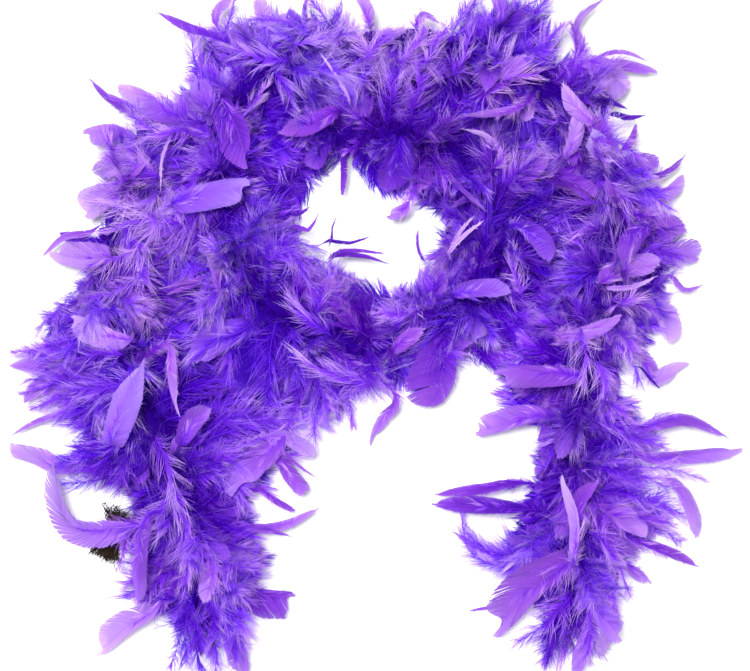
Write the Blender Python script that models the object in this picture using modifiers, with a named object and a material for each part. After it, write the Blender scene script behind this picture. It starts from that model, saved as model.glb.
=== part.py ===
"""Feather boa, two yards long, laid flat on a table.

The boa starts at the left tail, runs once round a ring, crosses over its own first pass at the upper left,
runs round the outside of that ring and ends at the right tail. A twisted core cord runs through it from end
to end, with a thread whipping, a barrel knot and a frayed end at each tip. The plumage is bound to the cord
in short sections, which are threaded on it like sleeves, and single long feathers stand clear of them.

+X is the wearer's side of the right tail, +Y points away from the tails, +Z is up and the table is Z = 0.
The origin is the centre of the boa's bounding box, on the table. Sizes are in metres.
"""

import math

import bmesh
import bpy
import numpy as np
from mathutils import Vector

NAME = "feather_boa"

# The core's route over the table: (x, y, height of the cord's centre), from the left tail's end to the
# right tail's end.
ROUTE = [
    (-0.128, -0.222, 0.024), (-0.130, -0.188, 0.024), (-0.138, -0.144, 0.024), (-0.152, -0.100, 0.024),
    (-0.178, -0.050, 0.024), (-0.202, 0.004, 0.024), (-0.204, 0.062, 0.024), (-0.184, 0.112, 0.021),
    (-0.140, 0.144, 0.016), (-0.084, 0.156, 0.016), (-0.028, 0.156, 0.021), (0.026, 0.152, 0.024),
    (0.068, 0.132, 0.024), (0.092, 0.098, 0.024), (0.092, 0.056, 0.024), (0.066, 0.022, 0.024),
    (0.028, -0.002, 0.024), (-0.016, -0.006, 0.024), (-0.058, 0.010, 0.024), (-0.092, 0.040, 0.029),
    (-0.110, 0.084, 0.044), (-0.114, 0.130, 0.055), (-0.102, 0.176, 0.053), (-0.064, 0.212, 0.038),
    (-0.012, 0.224, 0.026), (0.042, 0.226, 0.024), (0.098, 0.212, 0.024), (0.150, 0.176, 0.024),
    (0.182, 0.128, 0.024), (0.194, 0.076, 0.024), (0.184, 0.026, 0.024), (0.168, -0.024, 0.024),
    (0.156, -0.074, 0.024), (0.154, -0.126, 0.024), (0.152, -0.176, 0.024), (0.152, -0.222, 0.024),
]

# Core cord and what is on its ends.
CORD_RADIUS = 0.0015
CORD_STEPS = 84  # straight pieces along the whole cord
CORD_JOINT_GAP = 0.0012  # each length stops this far from a joint's axis
FACE_GAP = 0.0003
WHIPPING_LENGTH = 0.006
WHIPPING_RADIUS = 0.0028
KNOT_LENGTH = 0.009
KNOT_RADIUS = 0.0044
FRAY_LENGTH = 0.014
FRAY_RADIUS = 0.0042

# Plumage sections.
SECTIONS = 28
STEPS_PER_SECTION = CORD_STEPS // SECTIONS
PLUMAGE_RADIUS = 0.0265  # of the dense body, without the loose tips
CROSSING_LOW_HEIGHT = 0.0160  # half-heights of the squashed sections where the boa crosses itself
CROSSING_TOP_DOWN = 0.0175
CROSSING_TOP_UP = 0.0215
CROSSING_FLAT = 0.036  # how far from the crossing the sections stay squashed
CROSSING_FADE = 0.088  # and where they are round again
BORE_RADIUS = 0.0026
SECTION_GAP = 0.002
JOINT_GAP = 0.005  # between the two sections at a joint
END_MARGIN = 0.012  # cord left bare past the last section
END_DEPTH = 0.013  # how deep a section's end is rounded
JOINT_DEPTH = 0.026  # and at a joint, where the ends roll on each other
RING_POINTS = 12
SCALLOP = 0.07  # how far the tufts round a section stand out, and the hollows between them lie in

# Joints, counted in sections from each tail's end.
TIP_SECTIONS = 2
TAIL_SECTIONS = 3

# Long single feathers: (root's place along the core as a share of its length, side it leaves on (+1 left of
# the route's direction), how far round the section its root sits, in degrees above the side, tip, greatest
# width, share of its length that is widest).
LONG_FEATHERS = [
    (0.010, -1, 0, (-0.116, -0.264, 0.010), 0.014, 0.55),
    (0.030, 1, 0, (-0.208, -0.242, 0.008), 0.019, 0.60),
    (0.018, -1, 0, (-0.062, -0.200, 0.012), 0.020, 0.85),
    (0.070, -1, 0, (-0.044, -0.134, 0.016), 0.012, 0.50),
    (0.098, 1, 0, (-0.276, -0.084, 0.012), 0.018, 0.75),
    (0.150, 1, 0, (-0.272, -0.022, 0.014), 0.016, 0.60),
    (0.190, 1, 0, (-0.262, 0.060, 0.018), 0.017, 0.65),
    (0.232, 1, 0, (-0.218, 0.188, 0.020), 0.013, 0.50),
    (0.612, 1, 0, (-0.158, 0.240, 0.050), 0.013, 0.50),
    (0.676, 1, 75, (-0.020, 0.260, 0.048), 0.018, 0.60),
    (0.712, 1, 75, (0.090, 0.264, 0.046), 0.016, 0.60),
    (0.742, 1, 0, (0.214, 0.206, 0.022), 0.017, 0.55),
    (0.782, 1, 0, (0.242, 0.140, 0.020), 0.012, 0.50),
    (0.822, 1, 0, (0.256, 0.040, 0.016), 0.015, 0.55),
    (0.868, 1, 0, (0.244, -0.026, 0.012), 0.015, 0.65),
    (0.905, 1, 0, (0.276, -0.088, 0.014), 0.015, 0.50),
    (0.948, 1, 0, (0.246, -0.176, 0.010), 0.015, 0.50),
    (0.942, -1, 0, (0.064, -0.130, 0.012), 0.012, 0.50),
    (0.500, 1, 0, (0.004, -0.078, 0.008), 0.010, 0.50),
]
FEATHER_THICKNESS = 0.0008
FEATHER_ARCH = 0.006  # how far a feather bows upwards
FEATHER_CUP = 0.0012  # its quill stands this far above its edges
FEATHER_STEPS = 9
ROOT_GAP = 0.0012  # between a single feather's root and the section's outside
TIP_WIDTH = 0.0016

# The dark yarn end that sticks out beside the left tail.
YARN_ROOT = (-0.178, -0.130, 0.020)
YARN_TIP = (-0.206, -0.178, 0.009)
YARN_RADIUS = 0.0045

PURPLE = (0.155, 0.040, 0.610)
LILAC = (0.300, 0.130, 0.780)
PINK_LILAC = (0.340, 0.100, 0.640)
CORD_PURPLE = (0.080, 0.020, 0.330)
DARK_OLIVE = (0.030, 0.026, 0.012)

FINE_STEPS = 60  # samples of the smooth route between two of its points


def clear_scene():
    for item in list(bpy.data.objects):
        bpy.data.objects.remove(item, do_unlink=True)


def new_collection(name):
    collection = bpy.data.collections.new(name)
    bpy.context.scene.collection.children.link(collection)
    return collection


def material(name, colour, roughness):
    made = bpy.data.materials.new(name)
    made.use_nodes = True
    shader = made.node_tree.nodes["Principled BSDF"]
    shader.inputs["Base Color"].default_value = (*colour, 1.0)
    shader.inputs["Roughness"].default_value = roughness
    shader.inputs["Metallic"].default_value = 0.0
    return made


class Core:
    """The core's smooth centre line, read by distance from the left tail's end."""

    def __init__(self):
        given = np.array(ROUTE)
        padded = np.vstack([2 * given[0] - given[1], given, 2 * given[-1] - given[-2]])
        fine = []
        for i in range(1, len(padded) - 2):
            before, start, end, after = padded[i - 1 : i + 3]
            for t in np.linspace(0, 1, FINE_STEPS, endpoint=False):
                fine.append(
                    start
                    + 0.5 * t * (end - before)
                    + 0.5 * t * t * (2 * before - 5 * start + 4 * end - after)
                    + 0.5 * t**3 * (3 * start - before - 3 * end + after)
                )
        fine.append(given[-1])
        self.fine = np.array(fine)
        steps = np.linalg.norm(np.diff(self.fine, axis=0), axis=1)
        self.along = np.concatenate([[0], np.cumsum(steps)])
        self.length = float(self.along[-1])
        self.low_crossing, self.top_crossing = self.find_crossing()

    def find_crossing(self):
        """Where the two passes of the boa cross in plan: the lower one's place, then the upper one's."""
        plan, along = self.fine[::6, :2], self.along[::6]
        apart = np.linalg.norm(plan[:, None] - plan[None], axis=2)
        apart[np.abs(along[:, None] - along[None]) < 0.3] = 1.0
        first, second = np.unravel_index(apart.argmin(), apart.shape)
        low, top = sorted((float(along[first]), float(along[second])))
        return low, top

    def at(self, place):
        return np.array([np.interp(place, self.along, self.fine[:, k]) for k in range(3)])

    def heading(self, place):
        step = 0.004
        ahead = self.at(min(place + step, self.length))
        behind = self.at(max(place - step, 0.0))
        return (ahead - behind) / np.linalg.norm(ahead - behind)

    def side(self, place):
        """Level, and to the left of the route's direction."""
        x, y, _ = self.heading(place)
        return np.array([-y, x, 0.0]) / math.hypot(x, y)


def crossing_share(distance):
    """1 near the crossing, 0 well away from it."""
    t = min(max((CROSSING_FADE - abs(distance)) / (CROSSING_FADE - CROSSING_FLAT), 0.0), 1.0)
    return t * t * (3 - 2 * t)


def half_heights(core, place):
    """How far the plumage reaches below and above the cord."""
    low = crossing_share(place - core.low_crossing)
    top = crossing_share(place - core.top_crossing)
    down = PLUMAGE_RADIUS + low * (CROSSING_LOW_HEIGHT - PLUMAGE_RADIUS)
    down += top * (CROSSING_TOP_DOWN - PLUMAGE_RADIUS)
    up = PLUMAGE_RADIUS + low * (CROSSING_LOW_HEIGHT - PLUMAGE_RADIUS)
    up += top * (CROSSING_TOP_UP - PLUMAGE_RADIUS)
    return down, up


def body_ring(core, place, share, scallop, odd):
    """One oval of a section's outside, cut flat where it meets the table; odd rings swap tuft and hollow."""
    centre, side = core.at(place), core.side(place)
    down, up = half_heights(core, place)
    points = []
    for i in range(RING_POINTS):
        turn = 2 * math.pi * (i + 0.5) / RING_POINTS
        ripple = share * (1 + scallop * (-1) ** (i + odd))
        height = ripple * math.sin(turn) * (up if math.sin(turn) > 0 else down)
        point = centre + side * (ripple * PLUMAGE_RADIUS * math.cos(turn)) + Vector((0, 0, height))
        point[2] = max(point[2], 0.0)
        points.append(point)
    return points


def bore_ring(core, place):
    centre, side = core.at(place), core.side(place)
    turns = [2 * math.pi * (i + 0.5) / RING_POINTS for i in range(RING_POINTS)]
    return [
        centre + side * (BORE_RADIUS * math.cos(turn)) + Vector((0, 0, BORE_RADIUS * math.sin(turn)))
        for turn in turns
    ]


def end_profile(depth, steps):
    """(distance from the end, share of the full radius) for a rounded end."""
    outer = [(0.0, 0.20 if depth == JOINT_DEPTH else 0.34)]
    for i in range(1, steps + 1):
        reach = depth * (i / steps) ** 1.6
        outer.append((reach, math.sqrt(1 - (1 - reach / depth) ** 2)))
    return outer


def loft(name, rings, collection, closed):
    """Joins rings of equal length into a skin; closed joins the last ring to the first."""
    mesh = bmesh.new()
    loops = [[mesh.verts.new(point) for point in ring] for ring in rings]
    pairs = list(zip(loops, loops[1:]))
    if closed:
        pairs.append((loops[-1], loops[0]))
    for one, other in pairs:
        for i in range(len(one)):
            j = (i + 1) % len(one)
            mesh.faces.new((one[i], one[j], other[j], other[i]))
    if not closed:
        mesh.faces.new(loops[0])
        mesh.faces.new(loops[-1])
    bmesh.ops.triangulate(mesh, faces=mesh.faces[:])
    bmesh.ops.recalc_face_normals(mesh, faces=mesh.faces[:])
    data = bpy.data.meshes.new(name)
    mesh.to_mesh(data)
    mesh.free()
    data.shade_smooth()
    made = bpy.data.objects.new(name, data)
    collection.objects.link(made)
    return made


def plumage_section(core, name, start, end, joint_at_start, joint_at_end, collection):
    """A sleeve of plumage on the cord from start to end."""
    first = start + (JOINT_GAP if joint_at_start else SECTION_GAP) / 2
    last = end - (JOINT_GAP if joint_at_end else SECTION_GAP) / 2
    head = end_profile(JOINT_DEPTH if joint_at_start else END_DEPTH, 3)
    tail = end_profile(JOINT_DEPTH if joint_at_end else END_DEPTH, 3)
    stations = [(first + reach, share) for reach, share in head]
    stations += [((first + last) / 2, 1.0)]
    stations += [(last - reach, share) for reach, share in reversed(tail)]
    scallop = 0.0 if joint_at_start or joint_at_end else SCALLOP
    rings = [
        body_ring(core, place, share, scallop * share, i % 2)
        for i, (place, share) in enumerate(stations)
    ]
    inner = [last]
    inner += [start + (end - start) * i / STEPS_PER_SECTION for i in range(STEPS_PER_SECTION - 1, 0, -1)]
    inner += [first]
    rings += [bore_ring(core, place) for place in inner]
    return loft(name, rings, collection, closed=True)


def cord_length(core, name, start, end, collection):
    """One rigid length of the core cord, a point at each of its own steps."""
    places = [start]
    places += [
        p for p in (core.length * i / CORD_STEPS for i in range(CORD_STEPS + 1))
        if start + CORD_RADIUS < p < end - CORD_RADIUS
    ]
    places.append(end)
    curve = bpy.data.curves.new(name, "CURVE")
    curve.dimensions = "3D"
    curve.bevel_depth = CORD_RADIUS
    curve.bevel_resolution = 2
    curve.use_fill_caps = True
    line = curve.splines.new("POLY")
    line.points.add(len(places) - 1)
    for point, place in zip(line.points, places):
        point.co = (*core.at(place), 1.0)
    made = bpy.data.objects.new(name, curve)
    collection.objects.link(made)
    return made


def turned(name, profile, place, direction, collection, closed):
    """A turned piece whose axis runs from place along direction; profile is (radius, distance) pairs."""
    data = bpy.data.meshes.new(name)
    edges = [(i, i + 1) for i in range(len(profile) - 1)]
    if closed:
        edges.append((len(profile) - 1, 0))
    data.from_pydata([(radius, 0, distance) for radius, distance in profile], edges, [])
    made = bpy.data.objects.new(name, data)
    collection.objects.link(made)
    screw = made.modifiers.new("turn", "SCREW")
    screw.axis = "Z"
    screw.steps = screw.render_steps = 12
    screw.use_merge_vertices = True
    screw.merge_threshold = 0.00001
    screw.use_normal_calculate = True
    made.location = place
    made.rotation_mode = "QUATERNION"
    made.rotation_quaternion = Vector(direction).to_track_quat("Z", "Y")
    return made


def whipping(core, name, place, direction, collection):
    """Thread wound round the cord: a sleeve with four shallow ridges."""
    inner, turns = CORD_RADIUS + FACE_GAP, 4
    pitch = WHIPPING_LENGTH / turns
    profile = [(inner, 0.0)]
    for i in range(turns):
        profile += [(WHIPPING_RADIUS - 0.0005, pitch * (i + 0.1)), (WHIPPING_RADIUS, pitch * (i + 0.5))]
    profile += [(WHIPPING_RADIUS - 0.0005, WHIPPING_LENGTH - pitch * 0.1), (inner, WHIPPING_LENGTH)]
    return turned(name, profile[::-1], core.at(place), direction, collection, closed=True)


def knot(name, place, direction, collection):
    """A barrel knot: three wraps of the cord's own thickness, with round shoulders."""
    wraps, dip = 3, 0.0008
    pitch = KNOT_LENGTH / (wraps + 1)
    profile = [(0.0, 0.0), (KNOT_RADIUS * 0.45, 0.0)]
    for i in range(wraps):
        middle = pitch * (i + 1)
        profile += [(KNOT_RADIUS - dip, middle - pitch * 0.42), (KNOT_RADIUS, middle)]
    profile += [(KNOT_RADIUS - dip, pitch * (wraps + 0.42)), (KNOT_RADIUS * 0.45, KNOT_LENGTH)]
    profile += [(0.0, KNOT_LENGTH)]
    return turned(name, profile[::-1], place, direction, collection, closed=False)


def frayed_end(name, place, direction, collection):
    """The cord's loose threads past the knot, as the cone that they fill."""
    profile = [
        (0.0, 0.0), (CORD_RADIUS, 0.0), (FRAY_RADIUS * 0.8, FRAY_LENGTH * 0.5),
        (FRAY_RADIUS, FRAY_LENGTH * 0.9), (FRAY_RADIUS * 0.6, FRAY_LENGTH), (0.0, FRAY_LENGTH),
    ]
    return turned(name, profile[::-1], place, direction, collection, closed=False)


def cord_end(core, side_name, place, outward, materials, collection):
    """Whipping, knot and frayed end at one end of the core."""
    made = {}
    inset = END_MARGIN - WHIPPING_LENGTH - SECTION_GAP
    at = place - inset if place > core.length / 2 else place + inset
    made[f"{side_name}_whipping"] = whipping(core, f"{side_name}_whipping", at, -outward, collection)
    knot_place = core.at(place) + outward * FACE_GAP
    made[f"{side_name}_end_knot"] = knot(f"{side_name}_end_knot", knot_place, outward, collection)
    fray_place = knot_place + outward * (KNOT_LENGTH + FACE_GAP)
    made[f"{side_name}_frayed_end"] = frayed_end(
        f"{side_name}_frayed_end", fray_place, outward, collection
    )
    for piece in made.values():
        piece.data.materials.append(materials["thread"])


def feather_half_width(share, widest, width):
    """Half the vane's width at a share of its length: narrow at the quill, widest where it says."""
    if share < widest:
        swell = math.sin(0.5 * math.pi * share / widest) ** 0.8
    else:
        swell = math.cos(0.5 * math.pi * (share - widest) / (1 - widest)) ** 0.6
    return max(TIP_WIDTH / 2, width / 2 * swell)


def long_feather(core, name, root_share, leaves, lift, tip, width, widest, collection):
    """One feather: a thin arched vane from just outside the plumage to its tip."""
    place = root_share * core.length
    reach = PLUMAGE_RADIUS * (1 + SCALLOP) + ROOT_GAP
    round_it = math.radians(lift)
    root = core.at(place) + core.side(place) * leaves * reach * math.cos(round_it)
    root[2] += reach * math.sin(round_it)
    tip = np.array(tip)
    run = tip - root
    across = np.cross(run, (0, 0, 1))
    across /= np.linalg.norm(across)
    vertices, faces = [], []
    for i in range(FEATHER_STEPS):
        share = i / (FEATHER_STEPS - 1)
        middle = root + run * share + Vector((0, 0, FEATHER_ARCH * math.sin(math.pi * share)))
        half = feather_half_width(share, widest, width)
        vertices += [
            middle - across * half,
            middle + Vector((0, 0, FEATHER_CUP * math.sin(math.pi * share))),
            middle + across * half,
        ]
    for i in range(FEATHER_STEPS - 1):
        for j in (0, 1):
            corner = 3 * i + j
            faces.append((corner, corner + 1, corner + 4, corner + 3))
    data = bpy.data.meshes.new(name)
    data.from_pydata([tuple(v) for v in vertices], [], faces)
    data.shade_smooth()
    made = bpy.data.objects.new(name, data)
    collection.objects.link(made)
    skin = made.modifiers.new("thickness", "SOLIDIFY")
    skin.thickness = FEATHER_THICKNESS
    skin.offset = 0.0
    return made


def yarn_tuft(name, collection):
    """The dark frayed yarn beside the left tail, as the tapered brush that it fills."""
    root, tip = Vector(YARN_ROOT), Vector(YARN_TIP)
    length = (tip - root).length
    profile = [
        (0.0, 0.0), (YARN_RADIUS * 0.45, 0.0), (YARN_RADIUS * 0.9, length * 0.25),
        (YARN_RADIUS, length * 0.6), (YARN_RADIUS * 0.85, length * 0.9), (YARN_RADIUS * 0.4, length),
        (0.0, length),
    ]
    return turned(name, profile[::-1], root, tip - root, collection, closed=False)


def section_name(number):
    """Which part of the boa a section is in, counted from the left tail's end."""
    from_right = SECTIONS - 1 - number
    if number < TIP_SECTIONS:
        return f"left_tip_plumage_{number + 1}"
    if number < TAIL_SECTIONS:
        return "left_tail_plumage"
    if from_right < TIP_SECTIONS:
        return f"right_tip_plumage_{from_right + 1}"
    if from_right < TAIL_SECTIONS:
        return "right_tail_plumage"
    return f"ring_plumage_{number - TAIL_SECTIONS + 1:02d}"


def build_plumage(core, materials, collection):
    pitch = core.length / SECTIONS
    joints = {TIP_SECTIONS, TAIL_SECTIONS, SECTIONS - TAIL_SECTIONS, SECTIONS - TIP_SECTIONS}
    for number in range(SECTIONS):
        start, end = number * pitch, (number + 1) * pitch
        if number == 0:
            start = END_MARGIN
        if number == SECTIONS - 1:
            end = core.length - END_MARGIN
        section = plumage_section(
            core, section_name(number), start, end, number in joints, number + 1 in joints, collection
        )
        section.data.materials.append(materials["plumage"])


def build_cord(core, materials, collection):
    pitch = core.length / SECTIONS
    lengths = [
        ("left_tip_core_cord", 0, TIP_SECTIONS),
        ("left_tail_core_cord", TIP_SECTIONS, TAIL_SECTIONS),
        ("ring_core_cord", TAIL_SECTIONS, SECTIONS - TAIL_SECTIONS),
        ("right_tail_core_cord", SECTIONS - TAIL_SECTIONS, SECTIONS - TIP_SECTIONS),
        ("right_tip_core_cord", SECTIONS - TIP_SECTIONS, SECTIONS),
    ]
    for name, first, last in lengths:
        start = first * pitch + (CORD_JOINT_GAP if first else 0.0)
        end = last * pitch - (CORD_JOINT_GAP if last < SECTIONS else 0.0)
        cord = cord_length(core, name, start, end, collection)
        cord.data.materials.append(materials["cord"])
    for side_name, place, turn in (("left", 0.0, -1), ("right", core.length, 1)):
        outward = Vector(core.heading(place)) * turn
        cord_end(core, side_name, place, outward, materials, collection)


def build_feathers(core, materials, collection):
    for i, (share, leaves, lift, tip, width, widest) in enumerate(LONG_FEATHERS):
        name = f"long_feather_{i + 1:02d}"
        feather = long_feather(core, name, share, leaves, lift, tip, width, widest, collection)
        feather.data.materials.append(materials["lilac" if i % 3 else "pink_lilac"])


def build():
    clear_scene()
    collection = new_collection(NAME)
    materials = {
        "plumage": material("plumage", PURPLE, 0.85),
        "lilac": material("long_feather", LILAC, 0.55),
        "pink_lilac": material("long_feather_pink", PINK_LILAC, 0.55),
        "cord": material("core_cord", CORD_PURPLE, 0.80),
        "thread": material("thread", CORD_PURPLE, 0.75),
        "yarn": material("yarn_tuft", DARK_OLIVE, 0.90),
    }
    core = Core()
    build_cord(core, materials, collection)
    build_plumage(core, materials, collection)
    build_feathers(core, materials, collection)
    yarn = yarn_tuft("yarn_tuft", collection)
    yarn.data.materials.append(materials["yarn"])


build()
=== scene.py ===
"""The looks of the feather boa: every plumage section becomes real feathers with quills, vanes and down."""

import math

import bpy
import numpy as np
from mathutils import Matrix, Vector


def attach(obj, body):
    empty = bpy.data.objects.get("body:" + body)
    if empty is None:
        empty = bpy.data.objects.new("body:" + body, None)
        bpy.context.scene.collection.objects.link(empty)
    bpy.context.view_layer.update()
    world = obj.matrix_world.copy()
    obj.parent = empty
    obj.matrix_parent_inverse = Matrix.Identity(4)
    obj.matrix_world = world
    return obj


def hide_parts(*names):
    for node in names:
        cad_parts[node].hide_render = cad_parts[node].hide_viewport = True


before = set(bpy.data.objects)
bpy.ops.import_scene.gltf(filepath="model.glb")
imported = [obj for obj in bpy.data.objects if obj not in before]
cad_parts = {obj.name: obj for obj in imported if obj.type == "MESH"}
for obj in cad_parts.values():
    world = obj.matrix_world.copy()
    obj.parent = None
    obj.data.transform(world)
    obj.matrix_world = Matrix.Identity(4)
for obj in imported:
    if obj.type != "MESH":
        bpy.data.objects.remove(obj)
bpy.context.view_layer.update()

UP = np.array([0.0, 0.0, 1.0])

# ---------------------------------------------------------------- the core's route, as in the CAD
ROUTE = [
    (-0.128, -0.222, 0.024), (-0.130, -0.188, 0.024), (-0.138, -0.144, 0.024), (-0.152, -0.100, 0.024),
    (-0.178, -0.050, 0.024), (-0.202, 0.004, 0.024), (-0.204, 0.062, 0.024), (-0.184, 0.112, 0.021),
    (-0.140, 0.144, 0.016), (-0.084, 0.156, 0.016), (-0.028, 0.156, 0.021), (0.026, 0.152, 0.024),
    (0.068, 0.132, 0.024), (0.092, 0.098, 0.024), (0.092, 0.056, 0.024), (0.066, 0.022, 0.024),
    (0.028, -0.002, 0.024), (-0.016, -0.006, 0.024), (-0.058, 0.010, 0.024), (-0.092, 0.040, 0.029),
    (-0.110, 0.084, 0.044), (-0.114, 0.130, 0.055), (-0.102, 0.176, 0.053), (-0.064, 0.212, 0.038),
    (-0.012, 0.224, 0.026), (0.042, 0.226, 0.024), (0.098, 0.212, 0.024), (0.150, 0.176, 0.024),
    (0.182, 0.128, 0.024), (0.194, 0.076, 0.024), (0.184, 0.026, 0.024), (0.168, -0.024, 0.024),
    (0.156, -0.074, 0.024), (0.154, -0.126, 0.024), (0.152, -0.176, 0.024), (0.152, -0.222, 0.024),
]
SECTIONS = 28
TIP_SECTIONS = 2
TAIL_SECTIONS = 3
ROUTE_STEPS = 60          # to each stretch of the route
QUILL_STEPS = 16          # to each stretch of a quill that is listed one by one

YARN_ROOT = (-0.194, -0.138, 0.018)
YARN_TIP = (-0.208, -0.172, 0.009)
YARN_STRANDS = 320
YARN_POINTS = 40          # to a strand
FRAYED_THREADS = 90
CORD_STEP = 0.0016
CORD_LAY = 0.0058         # along the cord, for each turn of its two strands
STRAND_OFFSET = 0.00072   # of each of those from the cord's middle
STRAND_RADIUS = 0.0008

# ---------------------------------------------------------------- sizes of the plumage
FLOOR_CLEAR = 0.0012      # nothing lies lower than this
PRESSED = 0.006           # what would be lower than this is pressed flat towards the table
CEILING = 0.079           # feathers that stand above this bend over
CEILING_ROOM = 0.009      # what is pressed down from above the ceiling stays within this of it
EDGE_GAP = 0.0150         # a quill ends this far inside the outline, and its barbs reach on
OPENING_GAP = 0.009       # added to that gap at the opening in the middle
SHORTEST, LONGEST = 0.006, 0.098
RACHIS_STEPS = 12
FIT_STEPS = 24            # along the longest quill, when its length is fitted to the outline
DOWN_BARBS = 118          # on each side of a quill
VANE_ROWS = 52            # rows of locked barbs on each side
VANE_COLUMNS = 3
BARB_WIDTH = np.array([1.0, 1.0, 0.98, 0.78])    # of a row from quill to edge, as a share of its room
VANE_FOOT = 0.36          # a vane's width where it begins, as a share of its greatest
BUNCHES = 10              # to a section
BUNCH_SIZE = 5
LOW_PLUMES = 24           # to a section
SHORT_BARBS = 900         # to a section
SLEEVE_RINGS = 18         # of the skin of down round the cord, to a section
SLEEVE_SPOKES = 14
SLEEVE_RADIUS = 0.0085
FLAT_BELOW = 0.17         # a feather whose draw from 0 to 1 is below this has a flat vane
SPIKE_ABOVE = 0.94        # and one whose draw is above this has a long narrow vane
GOLDEN_ANGLE = 2.39996

# Deep seams between the strands of the lay: lines that the tips of high feathers stay off
SEAMS = [
    [(0.133, 0.116), (0.136, 0.071), (0.130, 0.043), (0.111, 0.012), (0.106, -0.003)],
    [(-0.138, 0.052), (-0.141, 0.020), (-0.150, -0.040), (-0.126, -0.064), (-0.100, -0.060)],
    [(-0.067, 0.180), (-0.064, 0.146), (-0.066, 0.112)],
    [(0.010, 0.190), (0.040, 0.186), (0.062, 0.184)],
]
SEAM_WIDTH = 0.008
SEAM_FLOOR = 0.026        # feathers below this height may cross a seam
# Where the plumage is coloured lighter or darker than elsewhere: the darker patches are painted shade where
# the plumage lies in deep shade, and the lighter ones make it paler. Each gives the middle of the patch, its
# radius and by how much
LIGHTNESS_AND_PAINTED_SHADE_PATCHES = [
    (0.010, 0.236, 0.036, 0.38), (0.060, 0.232, 0.036, 0.22), (0.030, 0.056, 0.032, 0.24),
    (0.044, 0.082, 0.020, 0.16), (-0.112, 0.220, 0.045, 0.08), (0.194, 0.142, 0.045, 0.08),
    (-0.228, 0.064, 0.032, 0.14), (-0.112, 0.084, 0.022, 0.24), (-0.150, -0.106, 0.022, 0.18),
    (-0.112, 0.200, 0.022, 0.26), (0.194, -0.122, 0.030, -0.12), (0.018, 0.238, 0.034, 0.20),
    (0.042, 0.198, 0.020, -0.16), (-0.222, -0.104, 0.028, -0.20), (-0.084, -0.040, 0.030, -0.10),
    (0.004, -0.034, 0.022, 0.14), (0.202, 0.006, 0.026, 0.12), (0.156, -0.224, 0.022, 0.10),
    (-0.207, 0.060, 0.065, 0.12), (0.156, -0.030, 0.035, 0.10), (0.172, -0.222, 0.040, 0.06),
    (-0.185, 0.140, 0.030, 0.08), (0.210, 0.030, 0.030, 0.08), (0.236, -0.080, 0.040, 0.06),
    (-0.144, 0.040, 0.030, -0.16), (-0.094, -0.030, 0.040, -0.34), (-0.076, 0.142, 0.038, -0.24),
    (0.128, 0.058, 0.024, -0.20), (0.130, 0.112, 0.020, -0.20), (0.070, 0.114, 0.024, -0.14),
    (0.020, 0.184, 0.028, -0.16), (-0.140, -0.056, 0.024, -0.18), (-0.218, -0.100, 0.026, -0.34),
]
# The opening in the ring's middle, and the outside that the ordinary feathers reach to, in order round each
OPENING = [
    (-0.062, 0.102), (-0.055, 0.108), (-0.052, 0.126), (-0.032, 0.132), (0.002, 0.126), (0.010, 0.113),
    (0.018, 0.106), (0.026, 0.096), (0.060, 0.095), (0.048, 0.076), (0.044, 0.060), (0.032, 0.050),
    (0.028, 0.037), (0.004, 0.036), (-0.010, 0.045), (-0.020, 0.056), (-0.034, 0.070), (-0.052, 0.086),
]
OUTLINE = [
    (-0.150, -0.264), (-0.154, -0.235), (-0.166, -0.222), (-0.180, -0.210), (-0.194, -0.194),
    (-0.198, -0.160), (-0.190, -0.125), (-0.196, -0.118), (-0.232, -0.108), (-0.242, -0.092),
    (-0.228, -0.070), (-0.248, -0.060),
    (-0.262, -0.045), (-0.270, -0.025), (-0.262, -0.008), (-0.254, 0.012), (-0.240, 0.030), (-0.222, 0.041),
    (-0.215, 0.052), (-0.216, 0.075), (-0.209, 0.100), (-0.204, 0.114), (-0.213, 0.130), (-0.206, 0.150),
    (-0.190, 0.166), (-0.176, 0.180), (-0.158, 0.184), (-0.143, 0.194), (-0.138, 0.212), (-0.134, 0.232),
    (-0.120, 0.240), (-0.098, 0.250), (-0.060, 0.250), (-0.032, 0.244), (-0.014, 0.228), (0.050, 0.226),
    (0.064, 0.238), (0.078, 0.258), (0.100, 0.268), (0.126, 0.264), (0.140, 0.248), (0.144, 0.222),
    (0.160, 0.216), (0.190, 0.210), (0.196, 0.196), (0.180, 0.178), (0.182, 0.150), (0.200, 0.136),
    (0.218, 0.122), (0.223, 0.104), (0.232, 0.086), (0.246, 0.066), (0.238, 0.044), (0.234, 0.020),
    (0.226, 0.000), (0.208, -0.014), (0.194, -0.030), (0.195, -0.050), (0.202, -0.066), (0.234, -0.082),
    (0.252, -0.096), (0.250, -0.124), (0.240, -0.146), (0.216, -0.162), (0.204, -0.176), (0.194, -0.200),
    (0.190, -0.232), (0.182, -0.264), (0.128, -0.264), (0.124, -0.240), (0.116, -0.220), (0.108, -0.190),
    (0.098, -0.174), (0.086, -0.167), (0.106, -0.152), (0.112, -0.130), (0.124, -0.106), (0.120, -0.090),
    (0.134, -0.072), (0.118, -0.058), (0.097, -0.046), (0.097, -0.024), (0.088, -0.010), (0.074, -0.010),
    (0.066, -0.024), (0.060, -0.046), (0.046, -0.054), (0.030, -0.053), (0.014, -0.049), (-0.006, -0.050),
    (-0.022, -0.057), (-0.034, -0.068), (-0.044, -0.084), (-0.052, -0.094), (-0.072, -0.104),
    (-0.090, -0.120), (-0.088, -0.144), (-0.078, -0.160), (-0.080, -0.188), (-0.090, -0.214),
    (-0.095, -0.264),
]


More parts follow.
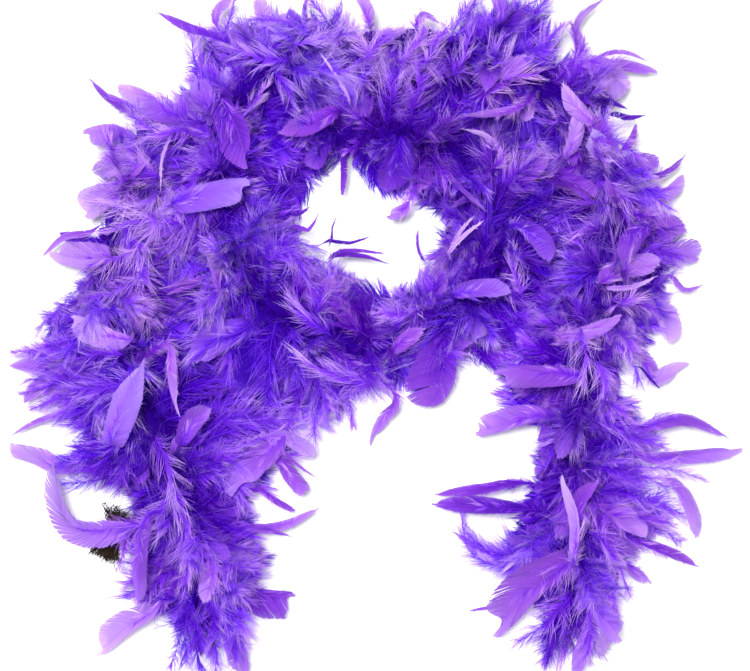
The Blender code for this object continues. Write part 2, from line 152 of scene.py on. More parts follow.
def smooth_line(knots, steps):
    """A smooth line through the knots, with as many points as steps to each stretch."""
    knots = np.array(knots)
    padded = np.vstack([2 * knots[0] - knots[1], knots, 2 * knots[-1] - knots[-2]])
    line = []
    for i in range(1, len(padded) - 2):
        before, start, end, after = padded[i - 1 : i + 3]
        for t in np.linspace(0, 1, steps, endpoint=False):
            line.append(
                start
                + 0.5 * t * (end - before)
                + 0.5 * t * t * (2 * before - 5 * start + 4 * end - after)
                + 0.5 * t**3 * (3 * start - before - 3 * end + after)
            )
    line.append(knots[-1])
    return np.array(line)


def way_along(line):
    """The distance along a line of each of its points."""
    return np.concatenate([[0], np.cumsum(np.linalg.norm(np.diff(line, axis=0), axis=1))])


LINE = smooth_line(ROUTE, ROUTE_STEPS)
ALONG = way_along(LINE)
LENGTH = float(ALONG[-1])
PITCH = LENGTH / SECTIONS


def at_distances(distances, along, line):
    """The points of a line at distances along it."""
    return np.stack([np.interp(distances, along, line[:, k]) for k in range(3)], axis=-1)


def core_at(places):
    """The core's middle at places, which are distances along it from the left end."""
    return at_distances(np.asarray(places, float), ALONG, LINE)


def unit(v):
    """Vectors at length 1."""
    return v / np.maximum(np.linalg.norm(v, axis=-1, keepdims=True), 1e-12)


def core_heading(places):
    """The core's direction at places."""
    step = 0.004
    places = np.asarray(places, float)
    return unit(core_at(np.minimum(places + step, LENGTH)) - core_at(np.maximum(places - step, 0.0)))


def across_and_over(way):
    """The level directions across ways, and those that stand on both."""
    across = unit(np.cross(UP, way))
    return across, np.cross(way, across)


def around(turn, across, over):
    """Directions at a turn from across towards over."""
    return across * np.cos(turn)[:, None] + over * np.sin(turn)[:, None]


def distance_to_line(spots, line):
    """How far spots (n, 2) are from a line of points."""
    line = np.array(line)
    best = np.full(len(spots), np.inf)
    for a, b in zip(line[:-1], line[1:]):
        t = np.clip(((spots - a) @ (b - a)) / ((b - a) @ (b - a)), 0, 1)
        best = np.minimum(best, np.linalg.norm(spots - a - t[:, None] * (b - a), axis=1))
    return best


def inside(spots, ring):
    """Whether spots (n, 2) are inside a closed ring of points."""
    found = np.zeros(len(spots), bool)
    for (ax, ay), (bx, by) in zip(ring, ring[1:] + ring[:1]):
        crosses = (ay > spots[:, 1]) != (by > spots[:, 1])
        at = ax + (spots[:, 1] - ay) / (by - ay if by != ay else 1e-9) * (bx - ax)
        found ^= crosses & (spots[:, 0] < at)
    return found


def kept_out(spots, seams):
    """Whether spots (n, 3) are where no ordinary feather reaches."""
    from_above = spots[:, :2]
    out = inside(from_above, OPENING) | ~inside(from_above, OUTLINE)
    for line in seams:
        out |= (distance_to_line(from_above, line) < SEAM_WIDTH) & (spots[:, 2] > SEAM_FLOOR)
    return out


# ---------------------------------------------------------------- camera, light and table
def build_camera():
    """A camera straight above the boa."""
    height, middle = 1.30, 0.035   # above the plumage's middle, and that middle above the table
    frame_width = 0.574            # what the view takes in there
    camera = bpy.data.cameras.new("camera")
    camera.type = "PERSP"
    camera.sensor_fit = "HORIZONTAL"
    camera.angle = 2 * math.atan(frame_width / 2 / height)
    eye = bpy.data.objects.new("camera", camera)
    eye.location = (0.003, 0.0, height + middle)
    bpy.context.scene.collection.objects.link(eye)
    bpy.context.scene.camera = eye


def build_light():
    """A small key lamp overhead, a wide weak one in front and an even surround."""
    aimed_at = np.array([0.0, 0.0, 0.03])
    lamps = [("key", (-0.16, 0.18, 1.75), 0.40, 46.0), ("front", (0.5, -1.3, 1.3), 1.2, 5.0)]
    for name, place, size, power in lamps:
        light = bpy.data.lights.new(name, "AREA")
        light.shape = "DISK"
        light.size = size
        light.energy = power
        lamp = bpy.data.objects.new(name, light)
        lamp.location = place
        lamp.rotation_mode = "QUATERNION"
        lamp.rotation_quaternion = Vector(aimed_at - place).to_track_quat("-Z", "Y")
        bpy.context.scene.collection.objects.link(lamp)
    world = bpy.data.worlds.new("studio")
    world.use_nodes = True
    background = world.node_tree.nodes["Background"]
    background.inputs["Color"].default_value = (1.0, 0.995, 0.985, 1.0)
    background.inputs["Strength"].default_value = 0.46
    bpy.context.scene.world = world
    bpy.context.scene.view_settings.view_transform = "Standard"


def build_table():
    """The plain pale table that the boa lies on."""
    half = 6.0
    corners = [(-half, -half, 0), (half, -half, 0), (half, half, 0), (-half, half, 0)]
    top = bpy.data.meshes.new("table")
    top.from_pydata(corners, [], [(0, 1, 2, 3)])
    table = bpy.data.objects.new("table", top)
    bpy.context.scene.collection.objects.link(table)
    pale = bpy.data.materials.new("table_pale")
    pale.use_nodes = True
    shader = pale.node_tree.nodes["Principled BSDF"]
    shader.inputs["Base Color"].default_value = (0.93, 0.925, 0.915, 1.0)
    shader.inputs["Roughness"].default_value = 0.9
    shader.inputs["Specular IOR Level"].default_value = 0.1
    top.materials.append(pale)


# ---------------------------------------------------------------- materials
# Colours from root (0) to tip (1)
PLUME_BLUISH = [
    (0.00, (0.016, 0.0002, 0.250)), (0.20, (0.062, 0.0014, 0.580)), (0.45, (0.220, 0.048, 0.880)),
    (0.72, (0.470, 0.265, 0.870)), (1.00, (0.680, 0.480, 0.880)),
]
PLUME_PINKISH = [
    (0.00, (0.026, 0.0003, 0.220)), (0.20, (0.105, 0.0018, 0.470)), (0.45, (0.300, 0.052, 0.740)),
    (0.72, (0.570, 0.268, 0.800)), (1.00, (0.770, 0.480, 0.830)),
]
VANE_BLUISH = [
    (0.00, (0.030, 0.002, 0.320)), (0.20, (0.120, 0.022, 0.500)), (0.42, (0.220, 0.072, 0.600)),
    (0.64, (0.335, 0.190, 0.720)), (1.00, (0.600, 0.450, 0.830)),
]
VANE_PINKISH = [
    (0.00, (0.040, 0.002, 0.290)), (0.20, (0.150, 0.024, 0.460)), (0.42, (0.270, 0.072, 0.560)),
    (0.64, (0.410, 0.195, 0.690)), (1.00, (0.690, 0.470, 0.800)),
]
THREAD = [(0.00, (0.010, 0.002, 0.060)), (0.50, (0.050, 0.010, 0.260)), (1.00, (0.160, 0.060, 0.560))]
YARN = [(0.00, (0.009, 0.006, 0.004)), (0.50, (0.040, 0.028, 0.016)), (1.00, (0.160, 0.115, 0.070))]


def dyed_material(name, fibre, vane, through_share=0.28):
    """Dyed fibre, dark at the root and lighter towards the tip. fibre and vane are each a bluish and a
    pinkish row of colours. The feather map goes across from root to tip, and up from bluish to pinkish: its
    lower half is for fibres and its upper half for vanes. through_share is how much light comes through."""
    made = bpy.data.materials.new(name)
    made.use_nodes = True
    nodes, links = made.node_tree.nodes, made.node_tree.links

    def add(kind, values, **settings):
        """A new node. Each of its values is a constant or the output of another node."""
        new = nodes.new("ShaderNode" + kind)
        for setting, value in settings.items():
            setattr(new, setting, value)
        for key, value in values.items():
            if isinstance(value, bpy.types.NodeSocket):
                links.new(value, new.inputs[key])
            else:
                new.inputs[key].default_value = value
        return new

    def ramp(stops, place):
        new = add("ValToRGB", {"Fac": place})
        for _ in stops[2:]:
            new.color_ramp.elements.new(0.5)
        for element, (at, colour) in zip(new.color_ramp.elements, stops):
            element.position = at
            element.color = (*colour, 1.0)
        return new.outputs["Color"]

    def mixed(factor, first, second, blend_type="MIX"):
        values = {"Factor": factor, "A": first, "B": second}
        return add("Mix", values, data_type="RGBA", blend_type=blend_type).outputs["Result"]

    feather_map = add("UVMap", {}, uv_map="OFBake").outputs["UV"]
    parts = add("SeparateXYZ", {"Vector": feather_map})
    to_tip, up = parts.outputs["X"], parts.outputs["Y"]
    is_vane = add("Math", {0: up, 1: 0.5}, operation="GREATER_THAN").outputs["Value"]
    doubled = add("Math", {0: up, 1: 2.0}, operation="MULTIPLY").outputs["Value"]
    pinkness = add("Math", {0: doubled, 1: is_vane}, operation="SUBTRACT").outputs["Value"]
    tinted = [mixed(pinkness, *[ramp(stops, to_tip) for stops in looks]) for looks in (fibre, vane)]

    # uneven dye: fine streaks that run along the fibres
    stretched = add("Mapping", {"Scale": (9.0, 320.0, 1.0), "Vector": feather_map}).outputs["Vector"]
    streaks = add("TexNoise", {"Scale": 1.0, "Detail": 3.0, "Vector": stretched}).outputs["Fac"]
    limits = {"From Min": 0.3, "From Max": 0.7, "To Min": 0.82, "To Max": 1.16}
    shade = add("MapRange", {"Value": streaks, **limits}).outputs["Result"]
    colour = mixed(1.0, mixed(is_vane, *tinted), shade, "MULTIPLY")

    shader = nodes["Principled BSDF"]
    links.new(colour, shader.inputs["Base Color"])
    shader.inputs["Roughness"].default_value = 0.55
    shader.inputs["Specular IOR Level"].default_value = 0.03
    shader.inputs["Specular Tint"].default_value = (0.75, 0.55, 1.0, 1.0)
    through = add("BsdfTranslucent", {"Color": colour}).outputs["BSDF"]
    surface = add("MixShader", {"Fac": through_share, 1: shader.outputs["BSDF"], 2: through})
    links.new(surface.outputs["Shader"], nodes["Material Output"].inputs["Surface"])
    return made


# ---------------------------------------------------------------- mesh building
class Skin:
    """Gathers points, faces and feather-map places of one mesh."""

    def __init__(self):
        self.points, self.quads, self.tris, self.places, self.count = [], [], [], [], 0

    def add(self, points, u, v, quads, tris=None, vane=False):
        """Adds points, their u and v on the feather map, where fibres have the lower half and vanes the upper
        half, and faces that are numbered from the first of these points."""
        points = np.asarray(points, float).reshape(-1, 3)
        self.points.append(points)
        places = np.clip(np.stack([u, v], -1).reshape(-1, 2), 0.004, 0.996)
        self.places.append(places * [1.0, 0.5] + [0.0, 0.5 * vane])
        self.quads.append(np.asarray(quads, np.int64).reshape(-1, 4) + self.count)
        if tris is not None:
            self.tris.append(np.asarray(tris, np.int64).reshape(-1, 3) + self.count)
        self.count += len(points)

    def add_round(self, line, across, over, radius, u, v):
        """A skin round a line. radius, u and v are given for every ring and spoke."""
        rings, spokes = radius.shape
        turn = np.linspace(0, 2 * math.pi, spokes, endpoint=False)
        out = around(turn, across[:, None], over[:, None])
        i, j = np.meshgrid(np.arange(rings - 1), np.arange(spokes), indexing="ij")
        k = (j + 1) % spokes
        quads = [i * spokes + j, i * spokes + k, (i + 1) * spokes + k, (i + 1) * spokes + j]
        self.add(line[:, None] + out * radius[..., None], u, v, np.stack(quads, -1))

    def build(self, name, material):
        """Makes the mesh and its object."""
        points = np.concatenate(self.points)
        points[:, 2] = press_down(points[:, 2])
        places = np.concatenate(self.places)
        quads = np.concatenate(self.quads)
        tris = np.concatenate(self.tris) if self.tris else np.zeros((0, 3), np.int64)
        corners = np.concatenate([quads.ravel(), tris.ravel()]).astype(np.int32)
        totals = np.concatenate([np.full(len(quads), 4), np.full(len(tris), 3)]).astype(np.int32)
        starts = np.concatenate([[0], np.cumsum(totals)[:-1]]).astype(np.int32)
        mesh = bpy.data.meshes.new(name)
        mesh.vertices.add(len(points))
        mesh.vertices.foreach_set("co", points.astype(np.float32).ravel())
        mesh.loops.add(len(corners))
        mesh.loops.foreach_set("vertex_index", corners)
        mesh.polygons.add(len(totals))
        mesh.polygons.foreach_set("loop_start", starts)
        mesh.polygons.foreach_set("loop_total", totals)
        layer = mesh.uv_layers.new(name="OFBake")
        layer.data.foreach_set("uv", places[corners].astype(np.float32).ravel())
        mesh.update(calc_edges=True)
        mesh.validate()
        mesh.shade_smooth()
        mesh.materials.append(material)
        made = bpy.data.objects.new(name, mesh)
        bpy.context.scene.collection.objects.link(made)
        return made


def press_down(z):
    """Keeps heights above the table: what is low is pressed flat, and what is very high is held down."""
    low = FLOOR_CLEAR + (PRESSED - FLOOR_CLEAR) * np.exp(np.minimum(z - PRESSED, 0) / (PRESSED - FLOOR_CLEAR))
    z = np.where(z < PRESSED, low, z)
    over = np.maximum(z - CEILING, 0)
    return np.where(z > CEILING, CEILING + CEILING_ROOM * (1 - np.exp(-over / CEILING_ROOM)), z)


def turn_about(v, axis, angle):
    """Rotates v about the unit vector axis."""
    angle = np.asarray(angle)[..., None]
    return (
        v * np.cos(angle)
        + np.cross(axis, v) * np.sin(angle)
        + axis * (axis * v).sum(-1, keepdims=True) * (1 - np.cos(angle))
    )


def grow_quills(roots, headings, lengths, curl_axis, curl, droop, steps=RACHIS_STEPS):
    """Quills as lines of points: they curl about an axis, droop, and slide along the table."""
    points, ways = [roots], [unit(headings)]
    step = lengths[:, None] / steps
    for i in range(steps):
        way = turn_about(ways[-1], curl_axis, curl / steps)
        way = unit(way - UP * (droop[:, None] / steps))
        place = points[-1] + way * step
        low = place[:, 2] < PRESSED
        way[low, 2] = np.maximum(way[low, 2], (PRESSED - points[-1][low, 2]) / step[low, 0] * 0.5)
        high = place[:, 2] > CEILING
        way[high, 2] = np.minimum(way[high, 2], -0.05)
        way = unit(way)
        points.append(points[-1] + way * step)
        ways.append(way)
    return np.stack(points, 1), np.stack(ways, 1)


def vane_sides(ways, side, twist):
    """The direction across the vane at each point of a quill, twisting along it."""
    count = ways.shape[1]
    sides = []
    for i in range(count):
        side = unit(side - ways[:, i] * (side * ways[:, i]).sum(-1, keepdims=True))
        sides.append(turn_about(side, ways[:, i], twist * i / (count - 1)))
    return np.stack(sides, 1)


def along_quill(values, share):
    """values at shares (feathers, n) of the way along each quill."""
    last = values.shape[1] - 1
    at = np.clip(share * last, 0, last - 1e-6)
    low = at.astype(int)
    part = (at - low)[..., None]
    rows = np.arange(len(values))[:, None]
    return values[rows, low] * (1 - part) + values[rows, low + 1] * part


def ribbons(skin, base, way, face, length, width, bend, wave, start, end, tint, jitter, vane=False):
    """Tapered barbs: three pieces and a point each. base, way and face are (n, 3); bend and wave are how far
    the tip and the middle are carried sideways, as vectors; start and end are the lightness at root and
    tip."""
    shares = np.array([0.0, 0.36, 0.70, 1.0])
    taper = np.array([1.0, 0.85, 0.6])
    n = len(base)
    line = (
        base[:, None]
        + way[:, None] * (length[:, None] * shares)[..., None]
        + bend[:, None] * (shares**2)[None, :, None]
        + wave[:, None] * np.sin(math.pi * shares * 1.5)[None, :, None]
    )
    across = (unit(np.cross(way, face)) * (width[:, None] / 2))[:, None] * taper[None, :, None]
    pairs = np.stack([line[:, :3] - across, line[:, :3] + across], 2).reshape(n, 6, 3)
    points = np.concatenate([pairs, line[:, 3:]], 1)
    u = start[:, None] + (end - start)[:, None] * shares
    u = u[:, [0, 0, 1, 1, 2, 2, 3]] + jitter[:, None]
    v = tint[:, None] + np.array([-1, 1, -1, 1, -1, 1, 0]) * 0.012
    first = (np.arange(n) * 7)[:, None]
    quads = np.concatenate([first + np.array([0, 1, 3, 2]), first + np.array([2, 3, 5, 4])])
    skin.add(points, u, v, quads, first + np.array([4, 5, 6]), vane)


def clumps(rng, feathers, count, chance):
    """Which wisp each barb of each feather belongs to, and a function that draws a random value for each wisp
    and gives it to the wisp's barbs. chance is how likely a barb is to begin a wisp."""
    which = np.cumsum(rng.random((feathers, count)) < chance, axis=1)
    rows = np.arange(feathers)[:, None]

    def sample(spread):
        return (rng.normal(0, 1, (feathers, count + 1)) * spread)[rows, which]

    return which, sample


def wisp_middle(values, which):
    """The mean value of each barb's wisp, for values (feathers, barbs)."""
    feathers, count = values.shape
    key = (np.arange(feathers)[:, None] * (count + 1) + which).ravel()
    total = np.bincount(key, values.ravel(), feathers * (count + 1))
    number = np.bincount(key, minlength=feathers * (count + 1))
    return (total / np.maximum(number, 1))[key].reshape(feathers, count)


def flat(values):
    """Vectors of every barb of every feather, in one row."""
    return values.reshape(-1, 3)


def down_barbs(rng, skin, points, ways, sides, normals, reach, open_angle, shut_angle, tint, low, high, loose,
               light, count=DOWN_BARBS, thick=0.00032):
    """Fluffy free barbs on both sides of each quill, from share low to share high of its length."""
    feathers = len(points)
    for sign in (-1.0, 1.0):
        order = ((np.arange(count)[None] + rng.random((feathers, count))) / count) ** 0.85
        share = low[:, None] + (high - low)[:, None] * order
        which, wisp = clumps(rng, feathers, count, 0.15)
        quill_length = np.linalg.norm(np.diff(points, axis=1), axis=-1).sum(1)[:, None]
        gather = (wisp_middle(share, which) - share) * quill_length * 0.65
        base = along_quill(points, share)
        way = along_quill(ways, share)
        side = along_quill(sides, share) * sign
        normal = along_quill(normals, share)
        angle = open_angle[:, None] + (shut_angle - open_angle)[:, None] * share**1.3
        angle = angle + wisp(0.17) + rng.normal(0, 0.07, share.shape)
        lift = wisp(1.0) * loose[:, None] + rng.normal(0, 0.10, share.shape)
        heading = unit(
            way * np.cos(angle)[..., None] + side * np.sin(angle)[..., None] + normal * lift[..., None]
        )
        swell = np.sin(math.pi * (0.14 + 0.70 * share)) ** 0.55
        is_short = rng.random(share.shape) < 0.35
        length = reach[:, None] * swell * (1 + wisp(0.13)) * np.where(
            is_short, rng.uniform(0.40, 0.80, share.shape), rng.uniform(0.80, 1.12, share.shape)
        )
        length = np.maximum(length, 0.002)
        bend = way * (0.22 + wisp(0.22))[..., None] + normal * wisp(0.28)[..., None]
        bend = bend * length[..., None] - UP * (0.10 * length[..., None]) + way * gather[..., None]
        waviness = (wisp(0.09) + rng.normal(0, 0.05, share.shape)) * length
        wave = np.cross(heading, normal) * waviness[..., None]
        n = share.size
        # painted shade: down that lies deep in the plumage is coloured darker than what stands high or far
        # out of it, which is coloured lighter
        out_from_root = np.linalg.norm((base - points[:, :1])[..., :2], axis=-1)
        painted_exposure_shade = np.maximum((base[..., 2] - 0.026) / 0.034, (out_from_root - 0.034) / 0.018).clip(0, 1).ravel()
        lit = np.repeat(light, count)
        start = 0.01 + (0.11 + 0.18 * painted_exposure_shade) * share.ravel() + 0.6 * lit.clip(0)
        end = start + (0.24 + 0.22 * painted_exposure_shade) + 0.38 * rng.random(n) + wisp(0.16).ravel()
        end = end + np.where(lit > 0, 0.25, 1.0) * lit
        ribbons(
            skin, flat(base), flat(heading), flat(normal), length.ravel(),
            thick * rng.uniform(0.7, 1.3, n), flat(bend), flat(wave), start, end,
            np.repeat(tint, count), wisp(0.03).ravel(),
        )


def vane_outline(turn, widest, corner):
    """A vane's edge: how far along it and how wide it is, as shares, at a turn from -1 (foot) to 1 (tip).
    A small corner makes it blunt and a large one makes it pointed."""
    angle = 0.5 * math.pi * turn
    far = np.abs(np.sin(angle))
    ahead = angle > 0
    along = np.where(ahead, widest + (1 - widest) * far**corner, widest * (1 - far))
    half = np.where(ahead, np.cos(angle) ** corner, VANE_FOOT + (1 - VANE_FOOT) * np.cos(angle) ** 1.3)
    return along, half


def vanes(rng, skin, points, ways, sides, normals, width, foot, widest, corner, cup, tint, bright, fray):
    """The smooth flat part of each feather: rows of locked barbs from quill to edge, and a fringe. foot is
    where it begins and widest where it is widest, as shares; cup is how much its edges rise, bright how light
    it is and fray how ragged."""
    feathers, rows, columns = len(points), VANE_ROWS, VANE_COLUMNS
    near = np.arange(rows)[None] / rows
    slant_end = rng.normal(0, 0.06, feathers)
    lean = rng.normal(0, 0.30, feathers)
    waves, phase = rng.uniform(0.8, 2.2, feathers), rng.uniform(0, 6.3, feathers)
    swing = rng.uniform(0.0, 0.10, feathers)
    uneven = rng.uniform(0.12, 0.50, feathers) * rng.choice([-1.0, 1.0], feathers)
    run = (np.linalg.norm(np.diff(points, axis=1), axis=-1).sum(1) * (1 - foot))[:, None]
    for sign in (-1.0, 1.0):
        _, wisp = clumps(rng, feathers, rows, 0.09)
        ruffle, notch = wisp(1.0), np.abs(wisp(1.0))
        own = rng.normal(0, 1, (feathers, rows))
        order = np.stack([near + 0 * ruffle, near + 1.06 / rows + 0 * ruffle], -1)
        quill_at = -0.16 + 1.15 * order
        turn = np.clip(-0.85 + 1.85 * order, -1, 1)
        edge_at, half = vane_outline(turn, widest[:, None, None], corner[:, None, None])
        missing = fray[:, None] * (0.030 * notch + 0.018 * np.abs(own))
        half = half * (1 - missing)[..., None] * (1 + sign * uneven)[:, None, None]
        edge_at = edge_at * (1 + sign * slant_end[:, None, None]) - 0.20 * missing[..., None]
        begin, span = foot[:, None, None], (1 - foot)[:, None, None]
        quill_share = np.clip(begin + span * quill_at, 0, 1).reshape(feathers, -1)
        edge_share = (begin + span * (edge_at + 0.010 * ruffle[..., None])).reshape(feathers, -1)
        root = along_quill(points, quill_share)
        clipped = np.clip(edge_share, 0, 1)
        spine = along_quill(points, clipped)
        way = along_quill(ways, clipped)
        side = along_quill(sides, clipped) * sign
        normal = along_quill(normals, clipped)
        out = (half.reshape(feathers, -1) * width[:, None] / 2)[..., None]
        wave = np.sin(edge_share * (waves * 9)[:, None] + phase[:, None] + sign) * swing[:, None]
        lift = (cup + sign * lean)[:, None] + np.repeat(0.05 * ruffle + 0.02 * own, 2, 1) * fray[:, None]
        lift = (lift + wave * 3)[..., None]
        beyond = ((edge_share - clipped) / (1 - foot)[:, None] * run)[..., None]
        tip = spine + side * out + normal * (out * lift) + way * beyond
        ahead = tip - way * (out * 0.30)
        columns_at = []
        for r in np.linspace(0, 1, columns + 1):
            # a barb leaves the quill forwards and bends out towards the edge
            bow = r * (1 - r)
            columns_at.append(root * (1 - r) + tip * r + (ahead - tip) * bow - normal * (lift * out * bow))
        grid = np.stack(columns_at, 2).reshape(feathers, rows, 2, columns + 1, 3)
        middle = grid.mean(2, keepdims=True)
        grid = middle + (grid - middle) * BARB_WIDTH[:, None]
        across = np.linspace(0, 1, columns + 1)
        local = np.clip(quill_at, 0, 1)[..., None]
        # painted shade: a vane is coloured darker at its foot, where the down beneath shades it, and lighter
        # towards its tip and its edge
        u = 0.17 + 0.27 * local + 0.15 * across + 1.4 * bright[:, None, None, None]
        u = u + (0.018 * own + 0.022 * ruffle)[..., None, None]
        v = tint[:, None, None, None] + np.array([-0.004, 0.004])[:, None] + 0 * u
        corner_at = np.arange(feathers * rows)[:, None] * (2 * (columns + 1))
        cells = [corner_at + np.array([c, c + 1, columns + 2 + c, columns + 1 + c]) for c in range(columns)]
        skin.add(grid, u, v, np.concatenate(cells), vane=True)
        faces = along_quill(normals, quill_share.reshape(feathers, rows, 2).mean(2))
        loose_ends(rng, skin, middle[:, :, 0], faces, u[..., columns].mean(2), fray, tint)


def loose_ends(rng, skin, spots, faces, shade, fray, tint):
    """A vane's fringe: barbs that leave it before its edge and reach past it. spots are the middles of its
    rows from quill to edge, as (feathers, rows, columns + 1, 3)."""
    is_loose = rng.random(shade.shape) < 0.55 * np.clip(fray, 0, 1)[:, None]
    base, face, shade = spots[:, :, -2][is_loose], faces[is_loose], shade[is_loose]
    reach = spots[:, :, -1][is_loose] - base
    n = len(reach)
    heading = unit(unit(reach) + rng.normal(0, 0.16, (n, 3)))
    length = np.linalg.norm(reach, axis=1) + rng.uniform(0.0006, 0.0026, n)
    bend = (rng.normal(0, 0.10, (n, 3)) - 0.05 * UP) * length[:, None]
    ribbons(
        skin, base + face * 0.0003, heading, face, length, rng.uniform(0.0003, 0.0005, n), bend, bend * 0.3,
        shade - 0.02, shade + rng.uniform(0.02, 0.16, n), tint[np.nonzero(is_loose)[0]], np.zeros(n),
        vane=True,
    )


def quills(skin, points, sides, normals, thick, tint):
    """Each quill as a three-sided tapering shaft."""
    feathers, count = points.shape[:2]
    taper = np.linspace(1.0, 0.18, count)
    rings = []
    for turn in (0.5, 0.5 + 2 / 3, 0.5 + 4 / 3):
        out = sides * math.cos(math.pi * turn) + normals * math.sin(math.pi * turn)
        rings.append(points + out * (thick[:, None] * taper[None])[..., None])
    grid = np.stack(rings, 2)
    u = np.linspace(0.22, 0.66, count)[None, :, None] + np.zeros((feathers, count, 3))
    v = tint[:, None, None] + np.array([-0.012, 0.0, 0.012]) + 0 * u
    corner = (np.arange(feathers)[:, None] * count + np.arange(count - 1)).reshape(-1, 1) * 3
    quads = [corner + np.array([a, b, 3 + b, 3 + a]) for a, b in ((0, 1), (1, 2), (2, 0))]
    skin.add(grid, u, v, np.concatenate(quads))


def under_down(rng, skin, start, end):
    """The dense down next to the cord, which closes the view between the feathers; it is coloured in the
    darkest tones as painted shade.
    """
    shape = (SLEEVE_RINGS, SLEEVE_SPOKES)
    places = np.linspace(start, end, SLEEVE_RINGS)
    across, over = across_and_over(core_heading(places))
    bump = 1 + 0.25 * rng.normal(0, 1, shape).clip(-1.5, 1.5)
    close = np.sin(np.linspace(0.18, math.pi - 0.18, SLEEVE_RINGS)) ** 0.5
    # painted shade: the sleeve takes the darkest colours at the root's end of the feather map
    u = 0.01 + 0.05 * rng.random(shape)
    v = 0.2 + 0.6 * rng.random(shape)
    skin.add_round(core_at(places), across, over, SLEEVE_RADIUS * bump * close[:, None], u, v)

    n = SHORT_BARBS
    places = rng.uniform(start, end, n)
    way = core_heading(places)
    out = around(rng.uniform(0, 2 * math.pi, n), *across_and_over(way))
    heading = unit(out + way * rng.normal(0, 0.45, n)[:, None])
    base = core_at(places) + out * 0.004
    length = rng.uniform(0.012, 0.027, n)
    ends = base + heading * length[:, None]
    length = length * np.where(kept_out(ends, []), 0.3, 1.0)
    lit = 0.9 * patch_lightness_and_painted_shade(ends).clip(0)
    loose = rng.normal(0, 0.25, (2, n, 3)) * length[:, None]
    ribbons(
        skin, base, heading, unit(rng.normal(0, 1, (n, 3))), length, np.full(n, 0.00045), loose[0],
        loose[1] * 0.4, 0.03 + lit, rng.uniform(0.16, 0.40, n) + lit, rng.uniform(0.1, 0.9, n), np.zeros(n),
    )


def under_layer(rng, skin, start, end):
    """Plumes that lie low beside the cord, under the rest, coloured dark as painted shade."""
    n = LOW_PLUMES
    places = rng.uniform(start, end, n)
    heading = core_heading(places)
    across = unit(np.cross(UP, heading)) * np.where(np.arange(n) % 2, 1, -1)[:, None]
    slant = heading * rng.normal(0, 0.45, n)[:, None]
    way = unit(across + slant - UP * rng.uniform(0.0, 0.5, n)[:, None])
    lengths = rng.uniform(0.048, 0.060, n)
    shape = unit(rng.normal(0, 1, (n, 3))), rng.normal(0, 0.3, n), rng.uniform(0.1, 0.5, n)
    roots = core_at(places) - UP * 0.004
    lengths = fit_lengths(rng, roots, way, shape, lengths, [], EDGE_GAP + 0.004)
    points, ways = grow_quills(roots, way, lengths, *shape)
    sides = vane_sides(ways, unit(np.cross(UP, ways[:, 0]) + rng.normal(0, 0.2, (n, 3))), np.zeros(n))
    normals = np.cross(ways, sides)
    tint = rng.uniform(0.1, 0.7, n)
    reach = rng.uniform(0.018, 0.024, n) * np.clip(lengths / 0.054, 0.3, 1.0)
    # painted shade: the low plumes are coloured darker than the plumage above them
    light = rng.uniform(-0.30, -0.12, n) + 0.6 * patch_lightness_and_painted_shade(points[:, -1])
    down_barbs(
        rng, skin, points, ways, sides, normals, reach, np.full(n, 1.1), np.full(n, 0.4), tint,
        np.full(n, 0.10), np.full(n, 0.995), np.full(n, 0.15), light, thick=0.0008,
    )
    quills(skin, points, sides, normals, np.full(n, 0.0004), tint)


def patch_lightness_and_painted_shade(spots):
    """How much lighter the plumage is coloured at spots (n, 3); where this is below 0 it is painted shade."""
    light = np.zeros(len(spots))
    for x, y, radius, more in LIGHTNESS_AND_PAINTED_SHADE_PATCHES:
        light += more * np.exp(-((spots[:, 0] - x) ** 2 + (spots[:, 1] - y) ** 2) / radius**2)
    return light


def fit_lengths(rng, roots, way, shape, lengths, seams, gap):
    """Lengths of quills that end near the outline where they come near it, and short of an opening or seam.
    shape is the quills' curl axes, curls and droops."""
    count = len(roots)
    points, _ = grow_quills(roots, way, np.full(count, LONGEST), *shape, steps=FIT_STEPS)
    out = kept_out(points.reshape(-1, 3), seams).reshape(count, -1)
    stopped = out.any(1)
    first = np.where(stopped, out.argmax(1), FIT_STEPS)
    ends = points[np.arange(count), first, :2]
    room = first / FIT_STEPS * LONGEST - gap - np.where(inside(ends, OPENING), OPENING_GAP, 0.0)
    room = np.where(stopped, room, np.inf)
    stretch = np.where(rng.random(count) < 0.8, 1.5, 1.0)
    longer = np.where(stopped, np.minimum(room, lengths * stretch), lengths)
    return np.clip(np.where(room < lengths, room, np.maximum(lengths, longer)), SHORTEST, LONGEST)


